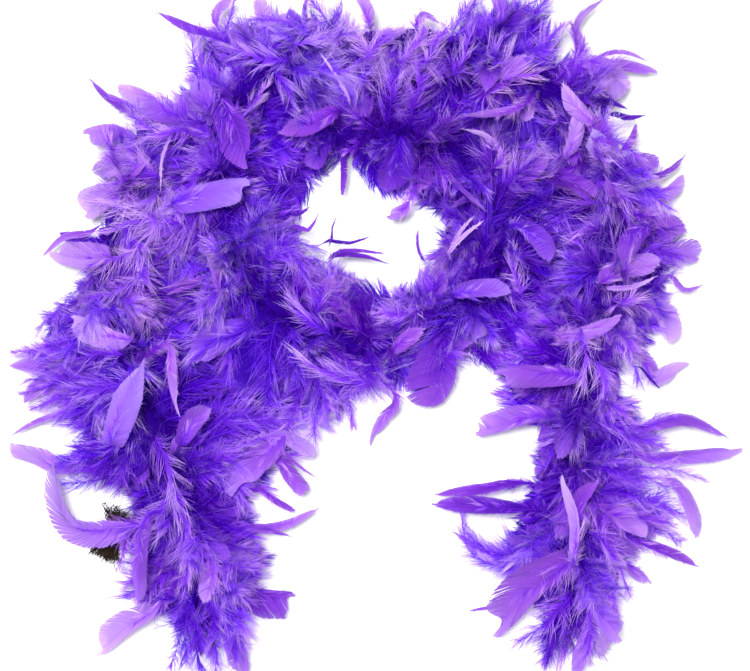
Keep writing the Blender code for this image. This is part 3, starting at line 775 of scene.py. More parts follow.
def plume_section(number, material, singles):
    """The feathers that are bound to one section of the core, in bunches that fan out."""
    rng = np.random.default_rng(4100 + number)
    start, end = number * PITCH, (number + 1) * PITCH
    count = BUNCHES * BUNCH_SIZE
    bunch = np.repeat(np.arange(BUNCHES), BUNCH_SIZE)
    centre = (start + (np.arange(BUNCHES) + rng.uniform(0.2, 0.8, BUNCHES)) / BUNCHES * (end - start))[bunch]
    places = np.clip(centre + rng.normal(0, 0.0025, count), 0.002, LENGTH - 0.002)
    heading = core_heading(places)
    turn = np.arange(BUNCHES) * GOLDEN_ANGLE + rng.uniform(-0.5, 0.5, BUNCHES) + number * 1.7
    turn = (turn - 0.24 * np.sin(2 * turn))[bunch] + rng.normal(0, 0.34, count)
    out = around(turn, *across_and_over(heading))
    outward = -1.0 if start < LENGTH / 2 else 1.0
    flow = np.where(rng.random(BUNCHES) < 0.72, outward, -outward)[bunch]
    lean = np.radians((rng.normal(66, 14, BUNCHES)[bunch] + rng.normal(0, 13, count)).clip(28, 104))
    way = heading * (np.cos(lean) * flow)[:, None] + out * np.sin(lean)[:, None]

    kind = rng.random(count)
    is_flat = kind < FLAT_BELOW
    is_spike = kind > SPIKE_ABOVE
    lengths = np.where(is_flat, rng.uniform(0.046, 0.068, count), rng.uniform(0.036, 0.062, count))
    lengths = np.where(is_spike, rng.uniform(0.060, 0.080, count), lengths)
    roots = core_at(places) + out * 0.0018
    shape = unit(rng.normal(0, 1, (count, 3))), rng.normal(0, 0.60, count), rng.uniform(0.15, 0.75, count)
    lengths = fit_lengths(rng, roots, way, shape, lengths, SEAMS, EDGE_GAP)
    points, ways = grow_quills(roots, way, lengths, *shape)
    facing = unit(np.cross(ways[:, 0], out + 0.5 * UP + rng.normal(0, 0.35, (count, 3))))
    sides = vane_sides(ways, facing, rng.normal(0, 0.6, count))
    normals = np.cross(ways, sides)
    normals = normals * np.sign((normals * (out[:, None] + 0.3 * UP)).sum(-1, keepdims=True) + 1e-9)

    skin = Skin()
    under_down(rng, skin, start - 0.002, end + 0.002)
    under_layer(rng, skin, start, end)
    tint = np.clip(rng.beta(1.5, 2.4, BUNCHES)[bunch] + rng.normal(0, 0.10, count), 0.02, 0.98)
    light = (rng.normal(0, 0.08, BUNCHES)[bunch] + rng.normal(0, 0.05, count)).clip(-0.18, 0.20)
    # lightness of each tip, with painted shade where the patches are darker
    light = light + patch_lightness_and_painted_shade(points[:, -1])
    foot = np.where(is_flat, rng.uniform(0.44, 0.62, count), 1.0)
    foot = np.where(is_spike, rng.uniform(0.30, 0.50, count), foot)
    has_vane = is_flat | is_spike
    reach = np.where(is_spike, 0.6, 1.0) * rng.uniform(0.015, 0.024, count)
    down_barbs(
        rng, skin, points, ways, sides, normals, reach * np.clip(lengths / 0.052, 0.32, 1.1),
        np.radians(rng.uniform(52, 76, count)), np.radians(rng.uniform(12, 26, count)), tint,
        np.full(count, 0.06), np.where(has_vane, foot + 0.40 * (1 - foot), 0.995),
        rng.uniform(0.16, 0.42, count), light,
    )
    pick = np.flatnonzero(has_vane)
    narrow, wide = rng.uniform(0.004, 0.007, count), rng.uniform(0.011, 0.019, count)
    vanes(
        rng, skin, points[pick], ways[pick], sides[pick], normals[pick],
        np.where(is_spike, narrow, wide)[pick], foot[pick], rng.uniform(0.45, 0.80, count)[pick],
        rng.uniform(0.50, 1.40, count)[pick], rng.normal(0.15, 0.30, count)[pick], tint[pick],
        (light + rng.normal(0, 0.03, count))[pick], rng.uniform(0.4, 1.6, count)[pick],
    )
    quills(skin, points, sides, normals, rng.uniform(0.00035, 0.00055, count), tint)
    rows = [row for row in singles if number == min(int(row[0] / PITCH), SECTIONS - 1)]
    if rows:
        add_singles(rng, skin, rows)
    return skin.build(f"plumage_{number + 1:02d}", material)


# ---------------------------------------------------------------- the cord, its ends and the yarn
def tube(skin, line, radius, reference, spokes=6, shade=(0.3, 0.7), tint=0.5):
    """A round strand along a line, closed to a point at both ends. The reference is never along the line."""
    line = np.asarray(line)
    way = unit(np.gradient(line, axis=0))
    across = unit(np.cross(way, reference))
    count = len(line)
    taper = np.ones((count, spokes))
    taper[[0, -1]] = 0.1
    turn = np.linspace(0, 2 * math.pi, spokes, endpoint=False)
    u = np.linspace(*shade, count)[:, None] + 0.12 * np.sin(turn * 2 + np.arange(count)[:, None] * 1.7)
    v = tint + 0.02 * np.cos(turn) + 0 * u
    skin.add_round(line, across, np.cross(way, across), radius * taper, u, v)


def twisted_cord(name, start, end, material):
    """A length of the core: two strands laid round each other."""
    places = np.linspace(start, end, int((end - start) / CORD_STEP) + 2)
    across, over = across_and_over(core_heading(places))
    skin = Skin()
    for strand in range(2):
        out = around(2 * math.pi * places / CORD_LAY + math.pi * strand, across, over)
        line = core_at(places) + out * STRAND_OFFSET
        tube(skin, line, STRAND_RADIUS, UP + 0.3 * across, spokes=5, tint=0.3 + 0.4 * strand)
    return skin.build(name, material)


def cord_end_pieces(side_name, place, outward, material):
    """The whipping, the barrel knot and the frayed threads past it, by the names of their CAD nodes."""
    made = {}
    at, along = core_at(place), np.array(outward, float)
    across, over = across_and_over(along)

    def coil(skin, start, length, turns, radius, thick):
        t = np.linspace(0, 1, int(turns * 14) + 1)
        line = start + along * (length * t)[:, None] + around(2 * math.pi * turns * t, across, over) * radius
        tube(skin, line, thick, along, shade=(0.4, 0.7))

    whipping = Skin()
    coil(whipping, at - along * 0.0100, 0.0060, 8, 0.0021, 0.00042)
    made[f"{side_name}_whipping"] = whipping.build(f"{side_name}_whipping_thread", material)

    knot = Skin()
    coil(knot, at + along * 0.0018, 0.0060, 2.8, 0.0028, 0.0014)
    t = np.linspace(0, 1, 18)[:, None]
    middle = at + along * (0.0004 + 0.0088 * t)
    bow = across * 0.0030 * np.sin(math.pi * t) + over * 0.0018 * np.sin(2 * math.pi * t)
    tube(knot, middle + bow, 0.0012, over, shade=(0.5, 0.8))
    tube(knot, middle - bow * 0.5, 0.0014, over, shade=(0.3, 0.6))
    made[f"{side_name}_end_knot"] = knot.build(f"{side_name}_knot_cord", material)

    rng = np.random.default_rng(77)
    n = FRAYED_THREADS
    threads = Skin()
    spread = rng.normal(0, 0.16, (n, 2))
    aside = across * spread[:, :1] + over * spread[:, 1:]
    length = rng.uniform(0.009, 0.0135, n)
    loose = rng.normal(0, 0.16, (2, n, 3)) * length[:, None]
    ribbons(
        threads, at + along * 0.0090 + aside * 0.006, unit(along + aside), unit(rng.normal(0, 1, (n, 3))),
        length, np.full(n, 0.00042), loose[0], loose[1] * 0.5, rng.uniform(0.3, 0.6, n),
        rng.uniform(0.6, 1.0, n), rng.uniform(0.1, 0.9, n), np.zeros(n),
    )
    made[f"{side_name}_frayed_end"] = threads.build(f"{side_name}_frayed_threads", material)
    return made


def yarn_piece(material):
    """A tuft of dark yarn caught in the plumage, frayed into curls at both ends."""
    rng = np.random.default_rng(55)
    n = YARN_STRANDS
    root, tip = np.array(YARN_ROOT), np.array(YARN_TIP)
    along = unit(tip - root)
    across, over = across_and_over(along)
    t = np.linspace(0, 1, YARN_POINTS)[None]
    start, end = rng.uniform(-0.08, 0.45, n)[:, None], rng.uniform(0.84, 1.08, n)[:, None]
    share = start + (end - start) * t
    fan = rng.normal(0, 1, (n, 2)).clip(-1.7, 1.7) * [0.9, 0.35]
    spread = 0.0036 + 0.0034 * np.abs(2 * share - 1.0) ** 1.5
    line = root + (tip - root) * share[..., None]
    line = line + (across * fan[:, :1] + over * fan[:, 1:])[:, None] * spread[..., None]
    # each strand coils about its own line, tightly in the middle and in open loops at its ends
    turns = 2 * math.pi * (rng.uniform(2.5, 6.0, n)[:, None] * t + rng.random(n)[:, None])
    size = 0.0005 + 0.0016 * np.abs(2 * t - 1) ** 1.5 * rng.uniform(0.5, 1.5, n)[:, None]
    first = unit(rng.normal(0, 1, (n, 3)))[:, None]
    second = unit(np.cross(first, along + 0.2 * over))
    line = line + (first * np.cos(turns)[..., None] + second * np.sin(turns)[..., None]) * size[..., None]
    # some ends stand up out of the tuft
    stand = np.where(rng.random(n) < 0.30, rng.uniform(0.003, 0.009, n), 0.0)[:, None] * (1 - t) ** 3
    lean = UP * 0.5 - along * 0.6 + across * rng.normal(0, 0.5, (n, 1))
    line = line + lean[:, None] * stand[..., None]
    # every second strand runs the other way, so that both ends of the tuft are as dark and as thick
    line[1::2] = line[1::2, ::-1].copy()
    ways = unit(np.gradient(line, axis=1))
    sides = unit(np.cross(ways, first + 0.3))
    thick = rng.uniform(0.00026, 0.00046, n)
    skin = Skin()
    quills(skin, line, sides, np.cross(ways, sides), thick, rng.uniform(0.1, 0.9, n))
    return skin.build("yarn_curls", material)


# ---------------------------------------------------------------- feathers placed one by one
# Each is in millimetres: kind (v a flat vane, s a thin one, p a plume of down), where the part that shows
# begins, where it ends, width, how far it bows to its left, tint (bluish 0 to pinkish 1) and lightness; the
# lowest lightnesses are painted shade.
# Vanes also have a corner (small is blunt, large is pointed) and a roll in degrees.
SINGLE_FEATHERS = [
    # upper left
    ("v", (-178, 172, 34), (-200, 185, 34), 8, 1, 0.6, 0.02, 1.1, 20),
    ("v", (-160, 174, 40), (-194, 190, 34), 12, -2, 0.7, 0.20, 0.9, -10),
    ("v", (-188, 155, 34), (-219, 155, 28), 17, -3, 0.6, 0.10, 0.5, 15),
    ("v", (-180, 140, 44), (-214, 129, 30), 30, 2, 0.6, 0.16, 0.9, 10),
    ("v", (-190, 106, 50), (-219, 93, 30), 19, -2, 0.8, 0.24, 0.8, 10),
    ("v", (-202, 70, 34), (-240, 80, 22), 11, 2, 0.4, -0.20, 1.3, 25),
    ("v", (-196, 60, 50), (-244, 64, 26), 22, 4, 0.8, 0.20, 0.9, 0),
    ("v", (-150, 96, 80), (-92, 110, 86), 21, 2, 0.05, 0.06, 0.5, 8),
    ("v", (-112, 176, 80), (-92, 128, 84), 26, 3, 0.75, -0.14, 1.1, 5),
    ("v", (-24, 170, 58), (-68, 153, 64), 16, 2, 1.0, -0.06, 1.2, 10),
    ("s", (-16, 176, 58), (-38, 211, 66), 2.4, -1, 0.9, 0.30, 1.0, 0),
    ("s", (-10, 180, 58), (-32, 212, 66), 2.0, -1, 0.9, 0.34, 1.0, 0),
    ("s", (-22, 142, 40), (-23, 108, 24), 4.5, 1, 0.9, -0.12, 1.1, 0),
    ("s", (-124, 45, 60), (-156, 36, 64), 5, 1, 1.0, 0.08, 1.0, 10),
    ("s", (-126, 40, 60), (-152, 31, 62), 5, 0, 1.0, 0.00, 1.0, 30),
    ("v", (-112, 32, 64), (-124, 65, 70), 8, -2, 0.85, 0.12, 1.3, 40),
    ("v", (-180, -4, 56), (-226, 13, 50), 17, 3, 0.7, 0.20, 0.7, 5),
    ("s", (-148, 152, 66), (-157, 111, 66), 2.6, -4, 0.9, 0.30, 1.0, 0),
    ("s", (-60, 92, 40), (-47, 98, 34), 3.5, -1, 0.6, -0.15, 1.1, 0),
    ("s", (-60, 84, 36), (-42, 91, 32), 3.5, -7, 0.8, -0.05, 1.1, 0),
    ("s", (-31, 70, 36), (-27, 89, 32), 3, 1, 0.8, -0.05, 1.1, 0),
    ("s", (-36, 72, 36), (0, 76, 30), 3.5, -3, 0.7, -0.18, 1.1, 0),
    ("s", (-30, 60, 36), (12, 56, 26), 5, 4, 0.8, -0.10, 1.1, 0),
    ("s", (-30, 62, 38), (10, 63, 28), 3.5, 3, 0.8, -0.05, 1.1, 0),
    ("p", (-28, 48, 34), (-4, 41, 24), 16, 0, 0.6, 0.20),
    ("s", (-50, 236, 50), (-48, 260, 40), 4, 2, 0.6, -0.05, 1.0, 0),
    ("v", (-78, 234, 50), (-88, 256, 40), 12, 0, 0.8, 0.20, 0.8, 10),
    ("v", (-118, 236, 44), (-108, 259, 34), 7, 5, 0.8, 0.14, 1.2, 10),
    ("p", (-46, 226, 64), (-90, 236, 66), 26, -4, 0.3, 0.14),
    ("p", (-62, 204, 72), (-104, 214, 76), 30, 3, 0.3, 0.18),
    ("p", (-72, 196, 74), (-56, 166, 72), 24, 3, 0.3, 0.10),
    ("v", (-120, 150, 76), (-136, 178, 70), 18, 3, 0.4, -0.04, 1.1, 10),
    ("p", (-130, 120, 72), (-152, 84, 66), 34, 0, 0.5, 0.14),
    ("p", (-150, 70, 60), (-152, 106, 70), 28, 3, 0.5, 0.12),
    ("p", (-185, 84, 60), (-170, 40, 60), 34, 2, 0.3, 0.06),
    ("p", (-70, 60, 60), (-38, 50, 40), 34, 3, 0.4, 0.06),
    ("p", (-70, 68, 62), (-46, 42, 58), 30, 3, 0.4, 0.06),
    # light fluff on top: left, then along the back of the ring, then right
    ("p", (-160, 104, 74), (-200, 98, 54), 38, 4, 0.4, 0.30),
    ("p", (-158, 86, 74), (-200, 78, 56), 38, -3, 0.5, 0.32),
    ("p", (-172, 68, 68), (-214, 54, 44), 36, 3, 0.6, 0.28),
    ("p", (-170, 46, 66), (-212, 28, 46), 36, 3, 0.5, 0.22),
    ("p", (-158, 118, 70), (-200, 132, 50), 36, -3, 0.5, 0.22),
    ("p", (-170, 128, 60), (-206, 112, 44), 32, 3, 0.5, 0.22),
    ("p", (-196, 20, 56), (-244, 14, 34), 36, 3, 0.3, 0.16),
    ("p", (-186, -14, 60), (-236, -22, 40), 36, -3, 0.4, 0.20),
    ("p", (-176, -34, 64), (-226, -40, 44), 36, 3, 0.3, 0.16),
    ("p", (-150, 150, 64), (-182, 168, 46), 34, 3, 0.4, 0.18),
    ("p", (-130, 200, 60), (-134, 232, 44), 32, 3, 0.3, 0.14),
    ("p", (-30, 214, 60), (-26, 246, 44), 32, -3, 0.4, 0.20),
    ("p", (-6, 190, 64), (2, 214, 48), 32, 3, 0.4, 0.16),
    ("p", (16, 188, 64), (24, 214, 48), 34, -3, 0.4, 0.16),
    ("p", (36, 188, 64), (46, 214, 48), 34, 3, 0.5, 0.16),
    ("p", (60, 192, 66), (74, 228, 50), 36, -3, 0.4, 0.14),
    ("p", (92, 200, 66), (112, 240, 46), 36, 4, 0.4, 0.18),
    ("p", (128, 206, 60), (146, 236, 44), 34, 3, 0.3, 0.22),
    ("p", (84, 178, 66), (124, 196, 60), 30, 6, 0.8, 0.16),
    ("p", (170, 150, 64), (206, 134, 44), 34, 3, 0.5, 0.20),
    ("p", (168, 116, 66), (214, 100, 46), 36, -3, 0.6, 0.18),
    ("p", (190, 62, 60), (236, 60, 36), 36, 3, 0.4, 0.12),
    ("p", (180, 26, 62), (226, 16, 38), 34, 3, 0.6, 0.22),
    ("p", (156, 4, 66), (160, -36, 58), 36, 3, 0.4, 0.24),
    ("p", (186, -6, 60), (204, -34, 42), 30, 3, 0.4, 0.18),
    ("p", (176, -64, 62), (222, -84, 42), 34, -3, 0.4, 0.12),
    ("p", (176, -100, 62), (226, -116, 42), 34, 3, 0.3, 0.10),
    ("p", (160, -196, 60), (166, -244, 40), 32, 3, 0.5, 0.20),
    ("p", (-150, -120, 64), (-180, -146, 50), 32, 3, 0.4, 0.14),
    ("p", (-128, -150, 66), (-140, -196, 52), 32, -3, 0.4, 0.16),
    # left tail
    ("v", (-194, -82, 76), (-169, -20, 82), 28, 3, 0.10, 0.14, 1.5, 5),
    ("v", (-152, -6, 62), (-144, -54, 68), 8, -2, 1.0, 0.14, 1.2, 0),
    ("p", (-96, 4, 60), (-134, -18, 62), 26, -3, 0.15, 0.04),
    ("v", (-234, -30, 30), (-268, -52, 20), 12, -3, 0.7, 0.06, 1.3, 10),
    ("s", (-236, -60, 26), (-279, -77, 14), 5, -2, 0.7, 0.10, 1.2, 0),
    ("p", (-224, -46, 36), (-264, -58, 18), 22, -2, 0.4, 0.16),
    ("p", (-212, -14, 40), (-266, -12, 24), 32, 2, 0.3, 0.04),
    ("p", (-214, -36, 44), (-264, -34, 26), 34, -2, 0.4, 0.16),
    ("p", (-206, -52, 40), (-244, -62, 24), 30, -2, 0.2, 0.08),
    ("p", (-196, -84, 40), (-238, -98, 30), 34, 2, 0.1, -0.32),
    ("p", (-190, -92, 44), (-228, -106, 36), 28, 2, 0.1, -0.32),
    ("v", (-188, -147, 40), (-242, -103, 34), 28, 25, 0.5, 0.18, 0.9, 0),
    ("v", (-168, -136, 72), (-173, -200, 64), 17, -3, 0.45, 0.04, 0.9, 5),
    ("p", (-136, -200, 54), (-141, -250, 34), 30, -3, 0.2, -0.20),
    ("p", (-122, -196, 60), (-118, -254, 44), 36, 3, 0.3, 0.04),
    ("p", (-140, -202, 44), (-155, -256, 26), 26, 2, 0.3, 0.06),
    ("p", (-186, -146, 40), (-196, -181, 26), 15, 2, 0.8, 0.06),
    ("p", (-160, -158, 40), (-189, -194, 26), 24, 3, 0.4, 0.10),
    ("p", (-130, -210, 54), (-128, -258, 40), 34, -3, 0.3, -0.04),
    ("p", (-112, -206, 54), (-104, -248, 36), 30, 3, 0.3, 0.06),
    ("p", (-232, -12, 36), (-266, -15, 20), 22, 2, 0.4, 0.10),
    ("p", (-226, -42, 36), (-256, -56, 18), 24, -2, 0.6, 0.14),
    # low feathers, coloured dark as painted shade, where the strands of the lay part
    ("v", (-86, 0, 44), (-98, -46, 30), 32, 2, 0.2, -0.26, 0.8, 0),
    ("v", (-92, 6, 52), (-130, -20, 54), 22, -3, 0.1, -0.04, 0.8, 0),
    ("v", (-126, -26, 16), (-74, -36, 9), 38, 0, 0.3, -0.32, 0.5, 0),
    ("v", (-144, -62, 16), (-88, -60, 9), 38, 0, 0.3, -0.32, 0.5, 0),
    ("v", (-132, -86, 16), (-84, -84, 9), 36, 0, 0.3, -0.30, 0.5, 0),
    ("v", (-110, -68, 18), (-60, -60, 9), 34, 0, 0.3, -0.28, 0.5, 0),
    ("v", (-104, -86, 18), (-58, -80, 9), 30, 0, 0.3, -0.24, 0.5, 0),
    ("v", (-62, -4, 20), (-68, -52, 10), 32, 0, 0.3, -0.30, 0.6, 0),
    ("v", (-134, 14, 20), (-126, -20, 12), 32, 0, 0.3, -0.32, 0.6, 0),
    ("p", (-96, 8, 22), (-92, -46, 14), 44, 2, 0.3, -0.30),
    ("p", (-80, 0, 22), (-70, -50, 14), 44, -2, 0.3, -0.30),
    ("p", (-120, 10, 22), (-116, -44, 14), 44, 2, 0.3, -0.30),
    ("p", (-148, -60, 22), (-100, -52, 12), 44, 2, 0.3, -0.30),
    ("p", (-150, -40, 22), (-104, -30, 12), 44, 2, 0.3, -0.30),
    ("p", (-140, -80, 22), (-92, -76, 12), 44, 2, 0.3, -0.26),
    ("p", (-94, 138, 40), (-52, 128, 14), 44, 2, 0.3, -0.30),
    ("p", (-94, 160, 40), (-54, 158, 14), 44, 2, 0.3, -0.30),
    ("p", (-94, 112, 40), (-58, 116, 14), 40, 2, 0.3, -0.30),
    ("p", (20, 212, 22), (34, 172, 12), 44, 2, 0.3, -0.30),
    ("p", (50, 212, 22), (58, 172, 12), 44, 2, 0.3, -0.30),
    ("v", (-88, -117, 34), (-59, -134, 26), 6, 0, 0.9, -0.06, 0.7, 10),
    ("v", (-74, -92, 40), (-51, -121, 30), 15, 0, 0.85, 0.02, 0.5, 10),
    ("s", (-70, -88, 44), (-43, -108, 34), 2.4, 0, 0.8, 0.00, 1.0, 0),
    ("v", (-68, -80, 48), (-101, -116, 50), 23, -3, 0.6, 0.06, 0.6, 0),
    ("v", (-76, -76, 50), (-46, -93, 34), 12, 3, 0.5, 0.18, 0.8, 10),
    ("s", (-94, -146, 34), (-63, -155, 26), 5, 1, 0.7, -0.05, 1.1, 0),
    ("p", (-112, -74, 50), (-52, -72, 34), 40, 4, 0.4, 0.06),
    ("p", (-104, -60, 50), (-44, -62, 34), 38, -4, 0.4, 0.10),
    ("p", (-82, -50, 40), (-34, -68, 24), 34, 3, 0.3, -0.04),
    ("p", (-108, -92, 44), (-58, -92, 30), 34, 3, 0.4, 0.02),
    ("p", (-118, -96, 50), (-96, -130, 34), 36, 3, 0.4, 0.02),
    ("p", (-4, -36, 46), (-50, -26, 34), 34, -4, 0.5, 0.20),
    ("p", (-18, -40, 34), (-14, -70, 20), 16, 0, 0.6, 0.10),
    ("v", (-140, -80, 76), (-120, -54, 70), 18, 4, 0.5, 0.00, 1.2, 10),
    ("p", (-150, -110, 70), (-136, -160, 60), 30, 3, 0.5, 0.06),
    ("p", (-160, -76, 72), (-146, -122, 72), 32, 3, 0.4, 0.16),
    ("p", (-140, -150, 60), (-116, -196, 50), 32, 3, 0.5, 0.12),
    ("v", (-120, -168, 60), (-124, -200, 60), 14, 3, 0.7, 0.10, 1.2, 10),
    # the ring's front
    ("v", (56, -4, 46), (44, -55, 26), 38, 4, 0.65, -0.06, 0.7, 6),
    ("v", (16, -12, 50), (40, 4, 56), 13, 3, 0.9, 0.02, 1.2, 20),
    ("v", (62, 30, 62), (104, 32, 66), 14, 2, 0.15, 0.04, 1.1, 5),
    ("v", (110, 82, 66), (132, 56, 60), 16, 3, 0.10, -0.04, 1.0, 30),
    ("p", (114, 28, 56), (106, 66, 66), 22, 2, 0.5, 0.22),
    ("s", (58, 60, 60), (83, 85, 68), 3.5, 2, 0.9, 0.30, 1.0, 0),
    ("s", (62, 66, 60), (76, 88, 68), 3.0, 2, 0.9, 0.26, 1.0, 0),
    ("s", (40, 58, 40), (36, 80, 34), 2.6, 2, 0.6, -0.05, 0.8, 0),
    ("v", (28, 100, 40), (13, 92, 30), 10, 3, 0.8, 0.14, 0.9, 10),
    ("p", (-40, 20, 60), (-30, 52, 46), 30, 3, 0.5, 0.10),
    ("p", (-60, 4, 60), (-58, -36, 44), 34, 3, 0.2, -0.10),
    ("p", (-88, 24, 50), (-84, -34, 30), 38, 3, 0.2, -0.14),
    ("p", (-96, 30, 54), (-110, -30, 36), 38, -3, 0.3, -0.06),
    ("p", (-84, 20, 40), (-98, -50, 18), 40, 4, 0.2, -0.20),
    ("p", (-110, 40, 54), (-134, -12, 44), 36, -3, 0.3, 0.00),
    ("p", (-160, -28, 44), (-106, -14, 26), 38, 3, 0.2, -0.16),
    ("p", (-158, -50, 50), (-108, -34, 34), 38, 3, 0.3, -0.08),
    ("p", (-150, -62, 54), (-98, -48, 36), 38, -3, 0.3, -0.02),
    ("p", (-72, 10, 56), (-76, -44, 38), 34, -3, 0.2, -0.06),
    ("p", (-30, 0, 58), (-60, 28, 60), 30, 3, 0.3, -0.02),
    ("p", (20, 8, 58), (24, 36, 40), 30, 3, 0.4, 0.04),
    # upper right
    ("v", (156, 212, 44), (181, 261, 22), 8, 13, 0.8, 0.20, 1.1, 20),
    ("v", (160, 216, 44), (153, 239, 30), 8, -3, 0.7, 0.10, 0.8, 10),
    ("s", (174, 212, 40), (213, 212, 24), 4, 5, 0.8, 0.12, 1.1, 0),
    ("v", (164, 208, 50), (197, 188, 30), 24, 3, 0.6, 0.18, 0.8, 5),
    ("s", (172, 185, 46), (197, 174, 30), 5, -2, 0.4, -0.22, 1.2, 0),
    ("s", (182, 168, 44), (211, 170, 26), 5, -3, 0.4, -0.20, 1.2, 0),
    ("s", (192, 142, 40), (204, 163, 26), 6, -2, 0.8, 0.00, 1.1, 10),
    ("v", (206, 112, 40), (241, 124, 22), 11, -8, 0.7, 0.14, 1.2, 0),
    ("v", (188, 128, 44), (219, 129, 30), 15, 2, 0.5, -0.04, 0.6, 10),
    ("v", (166, 158, 66), (143, 187, 66), 12, 2, 0.9, 0.18, 1.2, 10),
    ("v", (146, 132, 62), (153, 167, 66), 12, -3, 0.85, 0.16, 1.0, 20),
    ("v", (172, 132, 60), (160, 164, 64), 18, -3, 0.85, -0.06, 1.1, 10),
    ("v", (99, 134, 56), (70, 154, 66), 5, -5, 0.8, 0.26, 1.1, 0),
    ("v", (114, 172, 60), (70, 164, 64), 9, 3, 0.9, 0.10, 1.2, 5),
    ("v", (84, 196, 62), (120, 211, 60), 13, -3, 0.8, 0.08, 1.1, 15),
    ("v", (138, 120, 60), (166, 104, 64), 19, 3, 1.0, -0.10, 0.8, 0),
    ("v", (200, 92, 50), (242, 82, 30), 15, 2, 0.9, 0.06, 0.9, 10),
    ("v", (172, 40, 62), (217, 54, 56), 18, 3, 0.85, 0.08, 0.9, 20),
    ("s", (176, 36, 64), (214, 44, 60), 4, -3, 0.85, 0.26, 1.1, 0),
    ("s", (230, 46, 34), (257, 39, 18), 4.5, -7, 0.8, 0.12, 1.1, 0),
    ("v", (206, 84, 60), (188, 56, 66), 20, -4, 0.6, -0.06, 1.0, 10),
    ("v", (138, -2, 60), (188, 15, 62), 10, -3, 0.95, 0.10, 1.2, 10),
    ("v", (142, 0, 60), (180, 5, 60), 7, -2, 0.95, 0.22, 1.2, 15),
    ("v", (212, 24, 40), (229, -4, 22), 17, 5, 0.7, 0.24, 0.9, 10),
    ("v", (34, 234, 52), (51, 241, 34), 5, 8, 0.7, 0.14, 1.0, 0),
    ("p", (60, 222, 54), (80, 256, 36), 36, 3, 0.4, 0.08),
    ("p", (118, 222, 50), (134, 258, 34), 36, 3, 0.3, 0.02),
    ("p", (20, 194, 60), (14, 215, 48), 30, 3, 0.4, 0.14),
    ("v", (22, 150, 50), (10, 112, 30), 26, 3, 0.3, -0.14, 1.0, 0),
    # right tail
    ("v", (156, -30, 60), (98, -30, 34), 18, -2, 0.7, 0.02, 0.7, 0),
    ("v", (130, -60, 44), (82, -74, 26), 18, 0, 0.7, 0.10, 0.5, 5),
    ("v", (130, -60, 40), (129, -82, 30), 8, 3, 0.7, 0.00, 0.9, 10),
    ("s", (204, -24, 40), (222, -41, 26), 1.8, 0, 0.3, -0.4, 1.0, 0),
    ("s", (188, -51, 44), (203, -52, 34), 2.6, 0, 0.3, -0.4, 1.0, 0),
    ("v", (206, -70, 44), (275, -79, 20), 11, 11, 0.5, 0.04, 1.4, 10),
    ("p", (200, -70, 44), (244, -66, 26), 22, 5, 0.3, 0.04),
    ("p", (206, -100, 40), (258, -112, 20), 26, 3, 0.5, 0.30),
    ("v", (226, -110, 40), (251, -156, 18), 11, 5, 0.8, 0.18, 1.2, 0),
    ("p", (190, -120, 44), (240, -138, 26), 34, 3, 0.4, 0.10),
    ("p", (192, -134, 44), (240, -160, 22), 28, 2, 0.4, 0.10),
    ("v", (192, -174, 40), (215, -191, 24), 9, 2, 0.7, 0.12, 1.2, 0),
    ("v", (182, -198, 44), (176, -248, 22), 14, 7, 0.7, 0.22, 1.0, 10),
    ("v", (164, -222, 44), (157, -264, 26), 12, 2, 0.6, 0.10, 1.0, 10),
    ("v", (150, -168, 66), (98, -224, 34), 34, -4, 0.75, 0.06, 0.6, 0),
    ("s", (104, -207, 30), (76, -213, 20), 3, 0, 0.7, 0.00, 1.0, 0),
    ("v", (114, -132, 44), (49, -130, 20), 14, 0, 0.7, -0.14, 1.2, 10),
    ("p", (107, -178, 40), (69, -137, 22), 26, 15, 0.2, 0.02),
    ("s", (86, -166, 30), (64, -153, 20), 5, 0, 0.6, 0.04, 1.2, 0),
    ("v", (150, -170, 72), (143, -107, 80), 8, -6, 0.55, 0.20, 1.1, 5),
    ("v", (152, -144, 66), (168, -108, 70), 12, 4, 0.95, -0.06, 1.2, 10),
    ("p", (170, -20, 62), (176, -48, 56), 34, 3, 0.5, 0.20),
    ("p", (150, -196, 60), (112, -234, 40), 36, 3, 0.5, 0.06),
    ("p", (170, -150, 66), (196, -196, 50), 30, 3, 0.5, 0.12),
    ("p", (-176, -98, 50), (-238, -114, 30), 28, 4, 0.2, -0.22),
    ("p", (-178, -84, 62), (-232, -96, 50), 34, 0, 0.2, -0.30),
    ("p", (112, -168, 40), (74, -152, 24), 34, 6, 0.2, 0.00),
    ("p", (118, -176, 44), (84, -164, 26), 34, 2, 0.3, 0.06),
    ("p", (-236, -34, 40), (-272, -45, 24), 18, 2, 0.5, 0.05),
    ("p", (-240, -6, 40), (-278, -13, 24), 16, 2, 0.6, 0.05),
    ("p", (-112, 222, 50), (-104, 256, 38), 20, 0, 0.5, 0.10),
    ("p", (-6, 204, 68), (22, 229, 62), 32, 3, 0.6, 0.22),
    ("p", (20, 204, 68), (40, 230, 62), 32, -3, 0.6, 0.20),
    ("p", (40, 202, 68), (58, 232, 62), 32, 3, 0.5, 0.18),
    ("p", (4, 208, 64), (-14, 231, 60), 28, 2, 0.6, 0.22),
    ("p", (0, -38, 66), (-48, -20, 80), 36, 2, 0.4, 0.20),
]
